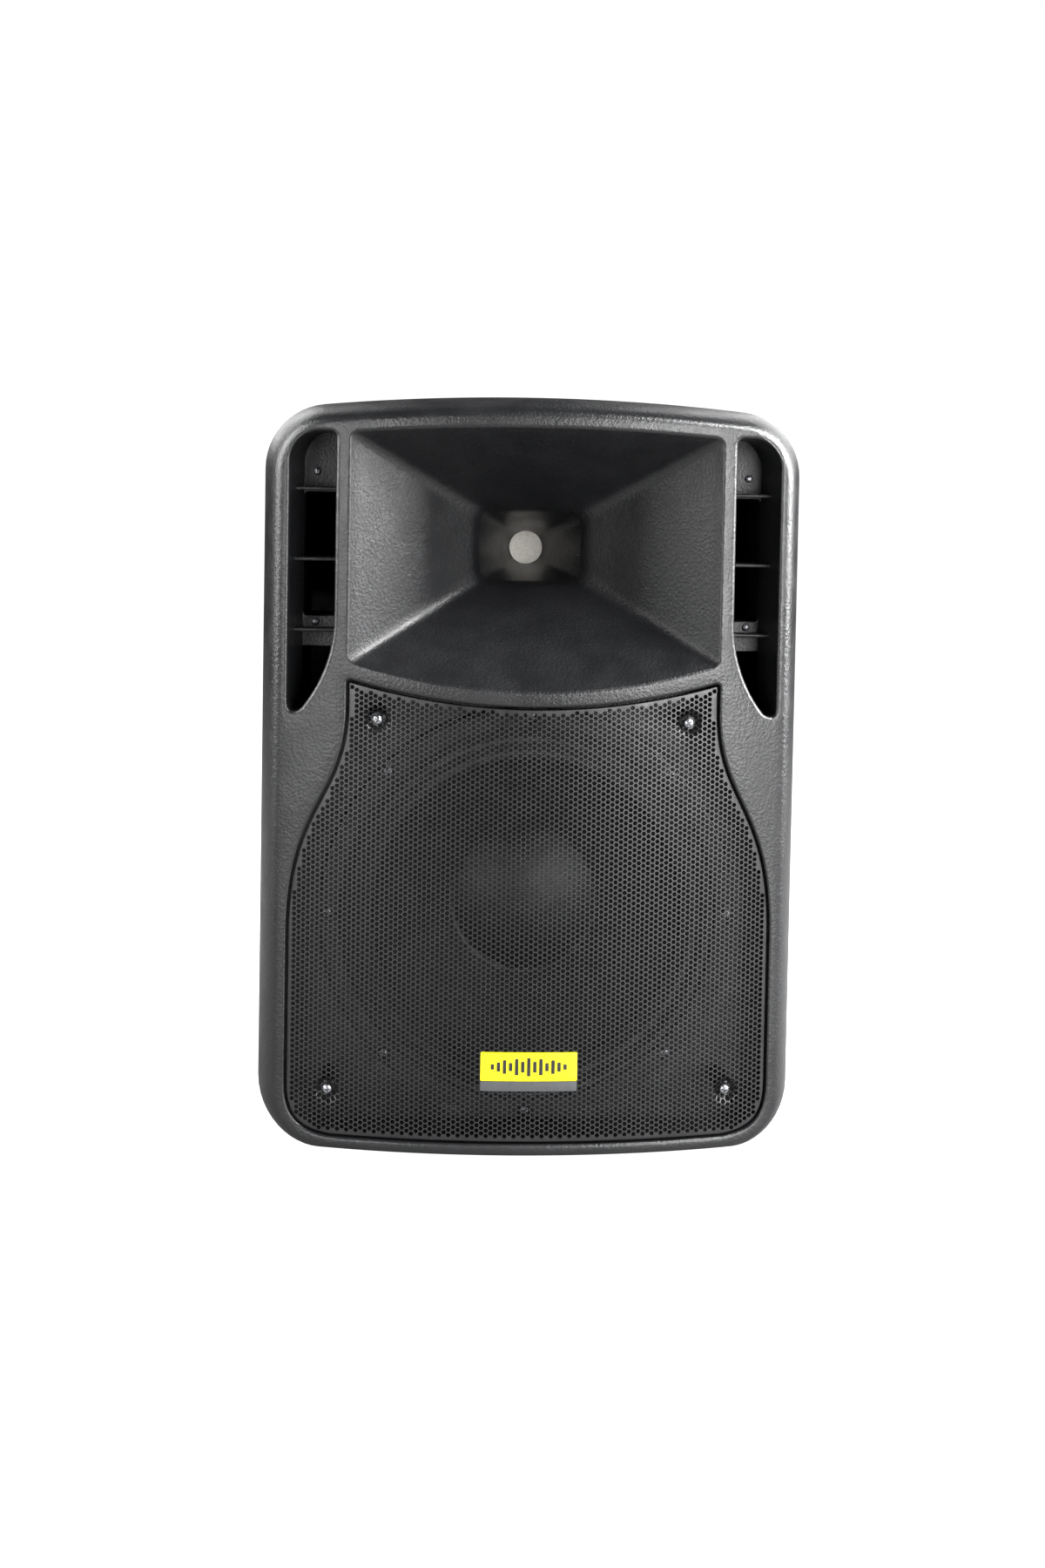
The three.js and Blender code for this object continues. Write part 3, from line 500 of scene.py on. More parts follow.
class Finish:
    """A procedural material: one shader, with patterns laid on it in the piece's own coordinates."""

    def __init__(self, name, colour, roughness, metallic=0.0, specular=0.5, **sockets):
        self.material = bpy.data.materials.new(name)
        self.material.use_nodes = True
        self.tree = self.material.node_tree
        self.shader = self.tree.nodes["Principled BSDF"]
        self.colour = (*colour, 1)
        self.shader.inputs["Base Color"].default_value = self.colour
        self.shader.inputs["Roughness"].default_value = roughness
        self.shader.inputs["Metallic"].default_value = metallic
        self.shader.inputs["Specular IOR Level"].default_value = specular
        for socket, value in sockets.items():
            self.shader.inputs[socket.replace("_", " ")].default_value = value
        self.roughness = roughness
        self.place = self.node("ShaderNodeTexCoord").outputs["Object"]
        self.height = None
        self.paint = None

    def node(self, kind, **settings):
        made = self.tree.nodes.new(kind)
        for key, value in settings.items():
            setattr(made, key, value)
        return made

    def link(self, output, socket):
        self.tree.links.new(output, socket)

    def stretched(self, stretch, turn=(0, 0, 0)):
        mapping = self.node("ShaderNodeMapping")
        mapping.inputs["Scale"].default_value = stretch
        mapping.inputs["Rotation"].default_value = turn
        self.link(self.place, mapping.inputs["Vector"])
        return mapping.outputs["Vector"]

    def pattern(self, kind, size, stretch=None):
        made = self.node(kind)
        made.inputs["Scale"].default_value = 1 / (size * MM)
        self.link(self.stretched(stretch) if stretch else self.place, made.inputs["Vector"])
        return made

    def noise(self, size, detail=3, stretch=None, rough=0.5):
        """Noise with features about size millimetres wide."""
        made = self.pattern("ShaderNodeTexNoise", size, stretch)
        made.inputs["Detail"].default_value = detail
        made.inputs["Roughness"].default_value = rough
        return made.outputs["Fac"]

    def cells(self, size):
        return self.pattern("ShaderNodeTexVoronoi", size).outputs["Distance"]

    def waves(self, pitch, direction, turn=(0, 0, 0)):
        made = self.node("ShaderNodeTexWave", bands_direction=direction)
        made.inputs["Scale"].default_value = math.pi / 10 / (pitch * MM)
        self.link(self.stretched((1, 1, 1), turn), made.inputs["Vector"])
        return made.outputs["Fac"]

    def spread(self, value, start, end):
        """The value from its usual range 0.3 to 0.7 on to start to end."""
        made = self.node("ShaderNodeMapRange")
        made.inputs["From Min"].default_value = 0.3
        made.inputs["From Max"].default_value = 0.7
        made.inputs["To Min"].default_value = start
        made.inputs["To Max"].default_value = end
        self.link(value, made.inputs["Value"])
        return made.outputs["Result"]

    def tint(self, colour, amount):
        """Mixes another colour in where a pattern is high."""
        mix = self.node("ShaderNodeMix", data_type="RGBA")
        self.link(amount, mix.inputs["Factor"])
        if self.paint:
            self.link(self.paint, mix.inputs["A"])
        else:
            mix.inputs["A"].default_value = self.colour
        mix.inputs["B"].default_value = (*colour, 1)
        self.paint = mix.outputs["Result"]

    def mottle(self, factor, pattern, start=0.0, end=0.5):
        """Makes the colour lighter or darker by a factor where a pattern is high."""
        self.tint([c * factor for c in self.colour[:3]], self.spread(pattern, start, end))

    def shade(self, down, up, pattern):
        """Spreads the roughness from a little less to a little more than its own."""
        rough = self.spread(pattern, self.roughness - down, self.roughness + up)
        self.link(rough, self.shader.inputs["Roughness"])

    def relief(self, pattern, depth):
        """Raises the surface by depth millimetres where the pattern is high."""
        bump = self.node("ShaderNodeBump")
        bump.inputs["Distance"].default_value = depth * MM
        bump.inputs["Strength"].default_value = 1
        self.link(pattern, bump.inputs["Height"])
        if self.height:
            self.link(self.height, bump.inputs["Normal"])
        self.height = bump.outputs["Normal"]

    def worn(self, colour, amount):
        """Rubbed lighter along outer edges, unevenly."""
        edge = self.node("ShaderNodeMapRange")
        edge.inputs["From Min"].default_value = 0.515
        edge.inputs["From Max"].default_value = 0.56
        edge.inputs["To Max"].default_value = amount
        self.link(self.node("ShaderNodeNewGeometry").outputs["Pointiness"], edge.inputs["Value"])
        uneven = self.node("ShaderNodeMath", operation="MULTIPLY")
        self.link(edge.outputs["Result"], uneven.inputs[0])
        self.link(self.spread(self.noise(9), 0.25, 1.3), uneven.inputs[1])
        self.tint(colour, uneven.outputs["Value"])

    def done(self):
        if self.paint:
            self.link(self.paint, self.shader.inputs["Base Color"])
        if self.height:
            self.link(self.height, self.shader.inputs["Normal"])
        return self.material


def moulded(name, colour, roughness, grain=1.5):
    """Textured moulded plastic: spark-eroded grain, faint mottling and rubbed edges."""
    finish = Finish(name, colour, roughness)
    finish.mottle(1.35, finish.noise(60, 4))
    finish.mottle(0.7, finish.noise(grain, 2))
    finish.worn([c * 2.2 + 0.004 for c in colour], 0.35)
    finish.shade(0.05, 0.07, finish.noise(24, 5))
    finish.relief(finish.noise(grain, 3, rough=0.6), 0.24)
    finish.relief(finish.cells(grain * 1.7), 0.24 * 0.6)
    return finish.done()


def powder_coated(name, colour, roughness):
    finish = Finish(name, colour, roughness)
    finish.mottle(1.5, finish.noise(35, 4), 0, 0.45)
    finish.shade(0.06, 0.08, finish.noise(12, 4))
    finish.relief(finish.noise(0.5, 2), 0.03)
    return finish.done()


def plated(name, colour, roughness, brush=(1, 1, 1)):
    finish = Finish(name, colour, roughness, 1.0)
    finish.mottle(0.72, finish.noise(3, 4), 0, 0.6)
    finish.shade(0.05, 0.12, finish.noise(1.2, 4, brush))
    finish.relief(finish.noise(0.4, 2, brush), 0.012)
    return finish.done()


def pulp(name, colour, roughness):
    """Pressed paper: short fibres, slightly uneven black dye."""
    finish = Finish(name, colour, roughness, specular=0.3)
    finish.mottle(1.9, finish.noise(0.8, 5, (1, 1, 5)))
    finish.mottle(0.6, finish.noise(18, 4), 0, 0.45)
    finish.shade(0.08, 0.08, finish.noise(2, 5))
    finish.relief(finish.noise(0.7, 5, (5, 1, 1)), 0.07)
    finish.relief(finish.noise(0.7, 5, (1, 1, 5)), 0.07)
    return finish.done()


def cloth(name, colour, roughness, pitch=0.9):
    """Woven cloth, its threads at 45 degrees."""
    finish = Finish(name, colour, roughness, specular=0.25, Sheen_Weight=0.25)
    across, along = (finish.waves(pitch, axis, (0, 0.785, 0)) for axis in "XZ")
    finish.mottle(1.8, across)
    finish.mottle(0.6, finish.noise(10, 4))
    finish.shade(0.08, 0.06, finish.noise(3, 4))
    finish.relief(across, 0.12)
    finish.relief(along, 0.12)
    return finish.done()


def rubbery(name, colour, roughness):
    finish = Finish(name, colour, roughness, specular=0.35)
    finish.tint([c * 1.6 + 0.004 for c in colour], finish.spread(finish.noise(7, 5), 0, 0.5))
    finish.shade(0.08, 0.06, finish.noise(4, 4))
    finish.relief(finish.noise(0.9, 4), 0.05)
    return finish.done()


def fired(name, colour, roughness):
    """Ferrite: dull grey ceramic with fine pits and ground faces."""
    finish = Finish(name, colour, roughness)
    finish.mottle(0.55, finish.cells(1.6), 0, 0.7)
    finish.shade(0.1, 0.1, finish.noise(5, 5))
    finish.relief(finish.noise(1.2, 6), 0.08)
    return finish.done()


def wound(name, colour):
    """Enamelled copper wire, wound in close turns, with painted shade darkening the grooves between
    them.
    """
    finish = Finish(name, colour, 0.32, 0.9)
    turns = finish.waves(0.5, "Y")
    # Painted shade: the copper darkens where the turns' bump is low, in the grooves between the wires.
    finish.mottle(0.45, turns, 0.6, 0)
    finish.shade(0.07, 0.1, finish.noise(2, 3))
    finish.relief(turns, 0.1)
    return finish.done()


def laminate(name, colour):
    """A circuit board: green solder mask over a glass weave, with faint copper areas under it."""
    finish = Finish(name, colour, 0.38, Coat_Weight=0.2)
    finish.mottle(1.7, finish.cells(9), 0.6, 0)
    finish.shade(0.06, 0.1, finish.noise(3, 4))
    finish.relief(finish.waves(0.6, "X"), 0.02)
    finish.relief(finish.waves(0.6, "Z"), 0.02)
    return finish.done()


def enamel(name, colour):
    """Glossy printed face with a slight orange peel and faint dust."""
    finish = Finish(name, colour, 0.3, Coat_Weight=0.3, Coat_Roughness=0.15)
    finish.mottle(0.86, finish.noise(8, 4), 0, 0.4)
    finish.shade(0.04, 0.1, finish.noise(5, 4))
    finish.relief(finish.noise(1.1, 3), 0.02)
    return finish.done()


def gauze(name, colour):
    """Fine stainless wire, drawn and slightly tarnished."""
    finish = Finish(name, colour, 0.42, 0.1)
    finish.mottle(0.6, finish.noise(2.2, 4))
    finish.shade(0.1, 0.08, finish.noise(0.8, 3))
    finish.relief(finish.noise(0.25, 2), 0.01)
    return finish.done()


BLACK_ABS = (0.0055, 0.0057, 0.0064)
RECIPES = {
    "shell_plastic": (moulded, BLACK_ABS, 0.34),
    "port_plastic": (moulded, (0.007, 0.0072, 0.008), 0.42, 1.2),
    "grille_steel": (powder_coated, (0.006, 0.006, 0.0066), 0.36),
    "badge_yellow": (enamel, (0.92, 0.76, 0.0)),
    "badge_black": (enamel, (0.01, 0.01, 0.011)),
    "badge_strip": (enamel, (0.06, 0.062, 0.065)),
    "bright_screw": (plated, (0.36, 0.365, 0.385), 0.3),
    "dark_screw": (plated, (0.16, 0.16, 0.17), 0.36),
    "frame_metal": (powder_coated, (0.012, 0.0122, 0.0135), 0.38),
    "gasket_card": (rubbery, (0.016, 0.016, 0.017), 0.8),
    "surround_cloth": (cloth, (0.009, 0.009, 0.0096), 0.75),
    "cone_paper": (pulp, (0.009, 0.009, 0.010), 0.66),
    "cap_paper": (pulp, (0.008, 0.008, 0.009), 0.33),
    "spider_cloth": (cloth, (0.42, 0.27, 0.11), 0.8, 1.2),
    "copper": (wound, (0.62, 0.26, 0.10)),
    "plated_steel": (plated, (0.52, 0.50, 0.42), 0.38, (1, 1, 6)),
    "ferrite": (fired, (0.055, 0.055, 0.06), 0.6),
    "diaphragm_film": (enamel, (0.55, 0.56, 0.58)),
    "plate_paint": (powder_coated, (0.018, 0.018, 0.02), 0.45),
    "circuit_board": (laminate, (0.02, 0.12, 0.045)),
    "foot_rubber": (rubbery, (0.012, 0.012, 0.012), 0.78),
    "screen_wire": (gauze, (0.74, 0.71, 0.66)),
}
FINISHES = {name: maker(name, *values) for name, (maker, *values) in RECIPES.items()}


# --- Cabinet --------------------------------------------------------------------------------------

def front_shell():
    skin = Skin()
    rings = []
    steps = 12
    for i in range(steps + 1):
        turn = 90 * i / steps
        rim = 1 - sine(turn)
        section = cabinet_section(
            HALF_WIDTH - RIM_WIDTH * rim,
            BASE_Z + RIM_BOTTOM * rim,
            TOP_Z - RIM_WIDTH * rim,
            BASE_CORNER - 10 * rim,
            HEAD_CORNER - 12 * rim,
            straight=48,
        )
        back = 1 - cosine(turn)
        rings.append([(x, lerp(at(sag(x)), at(WIDEST_DEPTH), back), z) for x, z in section])
    widest = cabinet_section(HALF_WIDTH, BASE_Z, TOP_Z, BASE_CORNER, HEAD_CORNER, straight=48)
    for turn in (0, 30, 60, 90):
        inset = PARTING_GROOVE * (1 - cosine(turn))
        depth = PARTING_DEPTH - PARTING_GROOVE * (1 - sine(turn))
        rings.append(flat(offset(widest, -inset), depth))
    rings.append(flat(offset(widest, -WALL), PARTING_DEPTH))
    rim = skin.tube(rings)

    mouth = skin.tube(horn_rings())
    window = window_rings()
    right = skin.tube(window)
    left = skin.tube([mirrored(ring) for ring in window])
    pocket_loop = grille_outline()
    pocket = skin.tube(lip(pocket_loop, GRILLE_LIP, 4) + [
        flat(pocket_loop, depth) for depth in (40, BAFFLE_DEPTH)
    ])
    openings = [mouth[0], right[0], left[0], pocket[0]]
    skin.sheet(rim[0], openings, 8, lift=lambda x, z: (x, at(sag(x)), z))
    cutout = skin.tube([
        flat(circle(radius, 0, WOOFER_Z), depth)
        for radius, depth in (
            (CUTOUT_RADIUS + 1, BAFFLE_DEPTH), (CUTOUT_RADIUS, BAFFLE_DEPTH + 1),
            (CUTOUT_RADIUS, BAFFLE_DEPTH + BAFFLE_THICKNESS),
        )
    ])
    skin.sheet(pocket[-1], [cutout[0]], 14, lift=lambda x, z: (x, at(BAFFLE_DEPTH), z))
    for i in range(1, 5):
        screw = middle(f"grille_screw_{i}")
        top = sag(screw.x) + DIMPLE_DEPTH + GRILLE_RECESS + GRILLE_SHEET + 1
        boss = [(2.6, top + 12), (2.6, top), (5.4, top), (6, top + 0.6), (7, BAFFLE_DEPTH)]
        skin.lathe(boss, screw.x, screw.z, 32)
    make("cabinet_front", skin, "shell_plastic", replaces=["front_shell", "horn_flare"], sharp=50)


def horn_rings():
    """From the lip round the horn's mouth, down its four panels, over the soft knee to the throat."""
    mouth = mouth_outline()
    knee = knee_outline()
    normal, _ = outward(mouth)
    mouths = [Vector((x, at(sag(x)), z)) for x, z in mouth]
    knees = [Vector((x, at(KNEE_DEPTH), z)) for x, z in knee]
    throats = []
    for x, z in knee:
        angle = math.atan2(z - KNEE_Z, x)
        across, rise = THROAT_RADIUS * math.cos(angle), THROAT_RADIUS * math.sin(angle)
        throats.append(Vector((across, at(THROAT_DEPTH), THROAT_Z + rise)))

    falls = []
    for point, end, (out_x, out_z) in zip(mouths, knees, normal):
        run = end - point
        inward = -(run.x * out_x + run.z * out_z)
        falls.append((math.atan2(run.y, inward), inward))
    rings = []
    lip_steps = 6
    for step in range(lip_steps + 1):
        ring = []
        for (x, z), (out_x, out_z), (fall, _) in zip(mouth, normal, falls):
            turn = fall * step / lip_steps
            shift = MOUTH_LIP * (math.tan(fall / 2) - math.sin(turn))
            x, z = x + out_x * shift, z + out_z * shift
            ring.append((x, at(sag(x) + MOUTH_LIP * (1 - math.cos(turn))), z))
        rings.append(ring)

    starts = [
        MOUTH_LIP * math.tan(fall / 2) * math.cos(fall) / inward for fall, inward in falls
    ]
    soft_start = 0.93
    soft_end = 0.1
    panel_steps = 12
    for step in range(1, panel_steps + 1):
        t = step / panel_steps
        rings.append([
            a.lerp(b, lerp(start, soft_start, t)) for a, b, start in zip(mouths, knees, starts)
        ])
    knee_steps = 8
    for step in range(1, knee_steps + 1):
        t = step / knee_steps
        ring = []
        for a, b, c in zip(mouths, knees, throats):
            near, far = a.lerp(b, soft_start), b.lerp(c, soft_end)
            ring.append(near.lerp(b, t).lerp(b.lerp(far, t), t))
        rings.append(ring)
    neck_steps = 9
    for step in range(1, neck_steps + 1):
        t = lerp(soft_end, 1, step / neck_steps)
        rings.append([b.lerp(c, t) for b, c in zip(knees, throats)])
    return rings


def draft(x, depth):
    """How far a port tunnel's outer wall has curved inwards at a depth."""
    across = smooth((x - WINDOW_INNER) / (WINDOW_OUTER - WINDOW_INNER))
    down = max(0, depth - sag(WINDOW_OUTER)) / (TUNNEL_DEPTH - sag(WINDOW_OUTER))
    return TUNNEL_DRAFT * across * down * down


def window_rings():
    loop = window_outline()
    rings = lip(loop, WINDOW_LIP)
    for i in range(1, 9):
        ring = []
        for x, z in loop:
            depth = lerp(sag(x) + WINDOW_LIP, TUNNEL_DEPTH, i / 8)
            ring.append((x - draft(x, depth), at(depth), z))
        rings.append(ring)
    return rings


def rear_section(depth, inset=0):
    t = (depth - WIDEST_DEPTH) / (BACK_DEPTH - REAR_ROUNDING - WIDEST_DEPTH)
    t = min(t, 1)
    return cabinet_section(
        lerp(HALF_WIDTH, REAR_HALF_WIDTH, t) - inset,
        BASE_Z + inset,
        lerp(TOP_Z, REAR_TOP, t) - inset,
        lerp(BASE_CORNER, REAR_BASE_CORNER, t) - inset,
        lerp(HEAD_CORNER, REAR_HEAD_CORNER, t) - inset,
    )


def rear_shell():
    skin = Skin()
    flat_runs = (0, 1 + SECTION_CORNER, 2 + SECTION_CORNER * 3 + SECTION_CROWN)
    near = PARTING_DEPTH + 0.3
    rings = [flat(rear_section(near, WALL), near)]
    for turn in (0, 30, 60, 90):
        depth = near + PARTING_GROOVE * (1 - cosine(turn))
        inset = PARTING_GROOVE * (1 - sine(turn))
        rings.append(flat(rear_section(depth, inset), depth))
    front = skin.tube(rings)[-1]
    rings = []
    steps = 7
    for i in range(steps + 1):
        turn = 90 * i / steps
        depth = BACK_DEPTH - REAR_ROUNDING * (1 - sine(turn))
        inset = REAR_ROUNDING * (1 - cosine(turn))
        rings.append(flat(rear_section(depth, inset), depth))
    back = skin.tube(rings)
    skin.bridge(front, back[0], skip=flat_runs)

    recess = skin.tube([
        flat(rounded_box(PLATE_HALF_WIDTH + grow, PLATE_HALF_HEIGHT + grow, 5, 0, PLATE_Z), depth)
        for grow, depth in (
            (1.9, BACK_DEPTH), (1.0, BACK_DEPTH - 0.3), (0.5, BACK_DEPTH - 1),
            (0.4, BACK_DEPTH - 3), (-8, BACK_DEPTH - 3), (-8, BACK_DEPTH - 9),
        )
    ])
    skin.sheet(back[-1], [recess[0]], 16, lift=lambda x, z: (x, at(BACK_DEPTH), z))

    hole = skin.tube([
        [(x, y, z) for x, y in circle(24, 0, POLE_Y, 64)] for z in (BASE_Z, BASE_Z + 5)
    ])
    base = [front[0], front[1], back[0][1], back[0][0]]
    skin.sheet(base, [hole[0]], 16, axes=(0, 1), lift=lambda x, y: (x, y, BASE_Z))

    for side, run in ((1, flat_runs[1]), (-1, flat_runs[2])):
        grip = skin.tube(grip_rings(side))
        skin.sheet(grip[-1], axes=(1, 2))
        panel = [front[run], front[run + 1], back[0][run + 1], back[0][run]]
        skin.sheet(panel, [grip[0]], 14, axes=(1, 2), lift=lambda y, z: (side * side_x(y), y, z))
    make("cabinet_rear", skin, "shell_plastic", replaces=["rear_shell"], sharp=50)


def side_x(y):
    """The half width of the tapered rear shell at a place along Y."""
    t = (y - at(WIDEST_DEPTH)) / (BACK_DEPTH - REAR_ROUNDING - WIDEST_DEPTH)
    return lerp(HALF_WIDTH, REAR_HALF_WIDTH, t)


def grip_rings(side):
    """A moulded hand grip: a rolled lip, straight walls and a floor with rounded edges."""
    half_y = (GRIP["far"] - GRIP["near"]) / 2
    half_z = (GRIP["high"] - GRIP["low"]) / 2
    y = at((GRIP["far"] + GRIP["near"]) / 2)
    z = (GRIP["high"] + GRIP["low"]) / 2
    loop = rounded_box(half_y, half_z, 14, y, z, straight=10, corner=9)
    rings = []
    for turn in (0, 18, 36, 54, 72, 90):
        shape = offset(loop, GRIP["lip"] * (1 - sine(turn)))
        sink = GRIP["lip"] * (1 - cosine(turn))
        rings.append([(side * (side_x(py) - sink), py, pz) for py, pz in shape])
    for turn in (0, 18, 36, 54, 72, 90):
        shape = offset(loop, -GRIP["fillet"] * (1 - cosine(turn)))
        rise = GRIP["fillet"] * (1 - sine(turn))
        rings.append([(side * (GRIP["floor"] + rise), py, pz) for py, pz in shape])
    return rings


def feet():
    """Rubber feet with a rounded tread, two grooves and a countersunk screw hole."""
    for name in ("foot_front_left", "foot_front_right", "foot_rear_left", "foot_rear_right"):
        place = middle(name)
        radius = (high(name).x - low(name).x) / 2
        profile = [
            (2, 3.4), (2, 1.6), (3.6, 0.2), (4.2, 0), (7, 0), (7.3, 0.5), (7.7, 0.5), (8, 0),
            (10.2, 0), (11.2, 0.3), (11.9, 1), (12.1, 2), (11.9, 2.5), (12.3, 3),
            (radius, BASE_Z), (2, BASE_Z),
        ]
        skin = Skin()
        rings = [skin.ring((x, y, z) for x, y in circle(r, place.x, place.y, 48)) for r, z in profile]
        for a, b in zip(rings, rings[1:] + rings[:1]):
            skin.bridge(a, b)
        make(f"rubber_{name}", skin, "foot_rubber", replaces=[name])


# --- Screws ---------------------------------------------------------------------------------------

def screw_mesh(radius, height, shank, length):
    """A domed head with a cross recess, its underside at zero and its head along -Y."""
    skin = Skin()
    profile = [(0, -height)]
    for turn in (15, 30, 45, 58, 70, 80, 88):
        profile.append((radius * sine(turn), -height * (0.25 + 0.75 * cosine(turn))))
    profile += [(radius, -height * 0.2), (radius, -height * 0.05), (radius * 0.96, 0)]
    profile += [(shank, 0), (shank, length), (0, length + shank * 0.7)]
    skin.lathe([(r, depth - FRONT_Y) for r, depth in profile], 0, 0, 40)
    reach = radius * 0.62
    arm = radius * 0.13
    cross = Skin()
    for scale, depth in ((1, -height - 1), (1, -height * 0.8), (0.45, -height * 0.1)):
        long, thin = reach * scale, arm * (0.5 + scale / 2)
        cross.ring((x, depth, z) for x, z in (
            (thin, -long), (thin, -thin), (long, -thin), (long, thin), (thin, thin),
            (thin, long), (-thin, long), (-thin, thin), (-long, thin), (-long, -thin),
            (-thin, -thin), (-thin, -long),
        ))
    for i in range(2):
        cross.bridge(range(12 * i, 12 * i + 12), range(12 * i + 12, 12 * i + 24))
    cross.faces += [tuple(range(12)), tuple(range(24, 36))]
    head, tool = (linked("blank", mesh_of("blank", part)) for part in (skin, cross))
    cut = head.modifiers.new("recess", "BOOLEAN")
    cut.operation = "DIFFERENCE"
    cut.object = tool
    bpy.context.view_layer.update()
    finished = head.evaluated_get(bpy.context.evaluated_depsgraph_get())
    result = bpy.data.meshes.new_from_object(finished)
    for scrap in (head, tool):
        bpy.data.objects.remove(scrap)
    return result


def drive(mesh, node, seat, finish, spin=0, backwards=False):
    """Sets a copy of a screw over its CAD node, with its head's underside at a depth."""
    place = middle(node)
    turned = mesh.copy()
    turned.transform(Matrix.Rotation(math.radians(spin), 4, "Y"))
    if backwards:
        turned.transform(Matrix.Rotation(math.pi, 4, "Z"))
    turned.transform(Matrix.Translation(Vector((place.x, at(seat), place.z)) * MM))
    make(f"pan_head_{node}", turned, finish, replaces=[node], sharp=32)


def screws():
    wide = screw_mesh(3.4, 2.4, 2.1, 14)
    for i in range(1, 5):
        node = f"grille_screw_{i}"
        drive(wide, node, sag(middle(node).x) + DIMPLE_DEPTH - 0.2, "bright_screw", 25 * i)
    small = screw_mesh(2.8, 2, 1.4, 8)
    for side in ("left", "right"):
        for i in (1, 2):
            drive(small, f"port_screw_{side}_{i}", TUNNEL_DEPTH + 0.1, "bright_screw", 20 + 35 * i)
    frame_screw = screw_mesh(4.2, 2.8, 2.3, 14)
    for i in range(1, 9):
        drive(frame_screw, f"woofer_screw_{i}", FRAME_DEPTH - 0.1, "dark_screw", 17 * i)
    plate_screw = screw_mesh(3, 0.9, 1.4, 9)
    for i in range(1, 5):
        drive(plate_screw, f"input_screw_{i}", PLATE_NEAR, "dark_screw", 31 * i, backwards=True)


# --- Grille ---------------------------------------------------------------------------------------

GRILLE_SEATS = [middle(f"grille_screw_{i}") for i in range(1, 5)]
BADGE_LOW = low("badge_plate")
BADGE_HIGH = high("badge_plate")


def dimple(x, z):
    """How far the sheet is pressed in round a screw."""
    reach = min(math.hypot(x - seat.x, z - seat.z) for seat in GRILLE_SEATS)
    return DIMPLE_DEPTH * (1 - smooth((reach - DIMPLE_FLOOR) / (DIMPLE_RADIUS - DIMPLE_FLOOR)))


def grille_cells(border, reach):
    """The middles of the sheet's staggered cells that keep a reach inside the border."""
    column = HOLE_PITCH * math.sqrt(3) / 2
    loop = np.array(offset(border, -reach))
    ahead = np.roll(loop, -1, 0)
    with np.errstate(divide="ignore", invalid="ignore"):
        slope = (ahead[:, 0] - loop[:, 0]) / (ahead[:, 1] - loop[:, 1])
    places = []
    columns = int(GRILLE_HALF_WIDTH / column)
    for i in range(-columns, columns + 1):
        for j in range(int(GRILLE_SHOULDER / HOLE_PITCH)):
            x = i * column
            z = GRILLE_BOTTOM + (j + (0.5 if i % 2 else 0)) * HOLE_PITCH
            crossed = (loop[:, 1] > z) != (ahead[:, 1] > z)
            beyond = loop[crossed, 0] + (z - loop[crossed, 1]) * slope[crossed] > x
            if beyond.sum() % 2:
                places.append((x, z))
    return places


def is_open(x, z):
    """Whether a cell has a hole: not under a screw's head, and not behind the badge."""
    if abs(x) < BADGE_HIGH.x - 3 and BADGE_LOW.z + 3 < z < BADGE_HIGH.z - 3:
        return False
    return all(math.hypot(x - seat.x, z - seat.z) > 3.6 for seat in GRILLE_SEATS)


class HoneyComb:
    """Six-sided cells of perforated sheet that share their corners, each with or without its hole."""

    def __init__(self, skin):
        self.skin = skin
        self.corners = {}
        self.sides = {}

    def point(self, x, z, behind=0):
        return (x, at(sag(x) + GRILLE_RECESS + dimple(x, z) + behind), z)

    def corner(self, x, z):
        step = HOLE_PITCH / math.sqrt(12)
        key = (round(x / step), round((z - GRILLE_BOTTOM) / (HOLE_PITCH / 2)))
        if key not in self.corners:
            self.corners[key] = self.skin.ring([self.point(x, z)])[0]
        return self.corners[key]

    def add(self, x, z, has_hole):
        rim = [self.corner(*spot) for spot in arc(x, z, HOLE_PITCH / math.sqrt(3), 0, 360, 6)]
        for a, b in zip(rim, rim[1:] + rim[:1]):
            if (b, a) in self.sides:
                del self.sides[b, a]
            else:
                self.sides[a, b] = True
        if not has_hole:
            self.skin.faces.append(tuple(rim))
            return
        self.skin.bridge(rim, self.hole(x, z))

    def hole(self, x, z):
        rim = arc(x, z, HOLE_WIDTH / math.sqrt(3), 0, 360, 6)
        front = self.skin.ring(self.point(*spot) for spot in rim)
        back = self.skin.ring(self.point(*spot, GRILLE_SHEET) for spot in rim)
        self.skin.bridge(front, back)
        return front

    def edges(self):
        """The loops round the cells."""
        follows = {a: b for a, b in self.sides}
        loops = []
        while follows:
            loop = [next(iter(follows))]
            while loop[-1] in follows:
                loop.append(follows.pop(loop[-1]))
            loops.append(loop[:-1])
        return loops


def grille():
    """Perforated sheet steel, curved with the front, with pressed dimples and a folded edge."""
    border = offset(grille_outline(), -GRILLE_CLEARANCE)
    skin = Skin()
    edge = []
    for turn in (0, 30, 60, 90):
        shape = offset(border, -EDGE_ROLL * (1 - sine(turn)))
        roll = EDGE_ROLL * (1 - cosine(turn))
        edge.append([(x, at(sag(x) + GRILLE_RECESS + roll), z) for x, z in shape])
    edge.append([(x, at(sag(x) + GRILLE_RECESS + GRILLE_RETURN), z) for x, z in border])
    outer = skin.tube(edge)[0]
    cells = HoneyComb(skin)
    whole = grille_cells(border, EDGE_ROLL + HOLE_MARGIN + HOLE_PITCH / math.sqrt(3))
    for x, z in whole:
        cells.add(x, z, is_open(x, z))
    round_holes = grille_cells(border, EDGE_ROLL + HOLE_MARGIN + HOLE_WIDTH / math.sqrt(3))
    holes = [cells.hole(x, z) for x, z in sorted(set(round_holes) - set(whole))]
    skin.sheet(outer, cells.edges() + holes, 50, lift=cells.point)
    make("perforated_grille", skin, "grille_steel", replaces=["grille"], sharp=40)


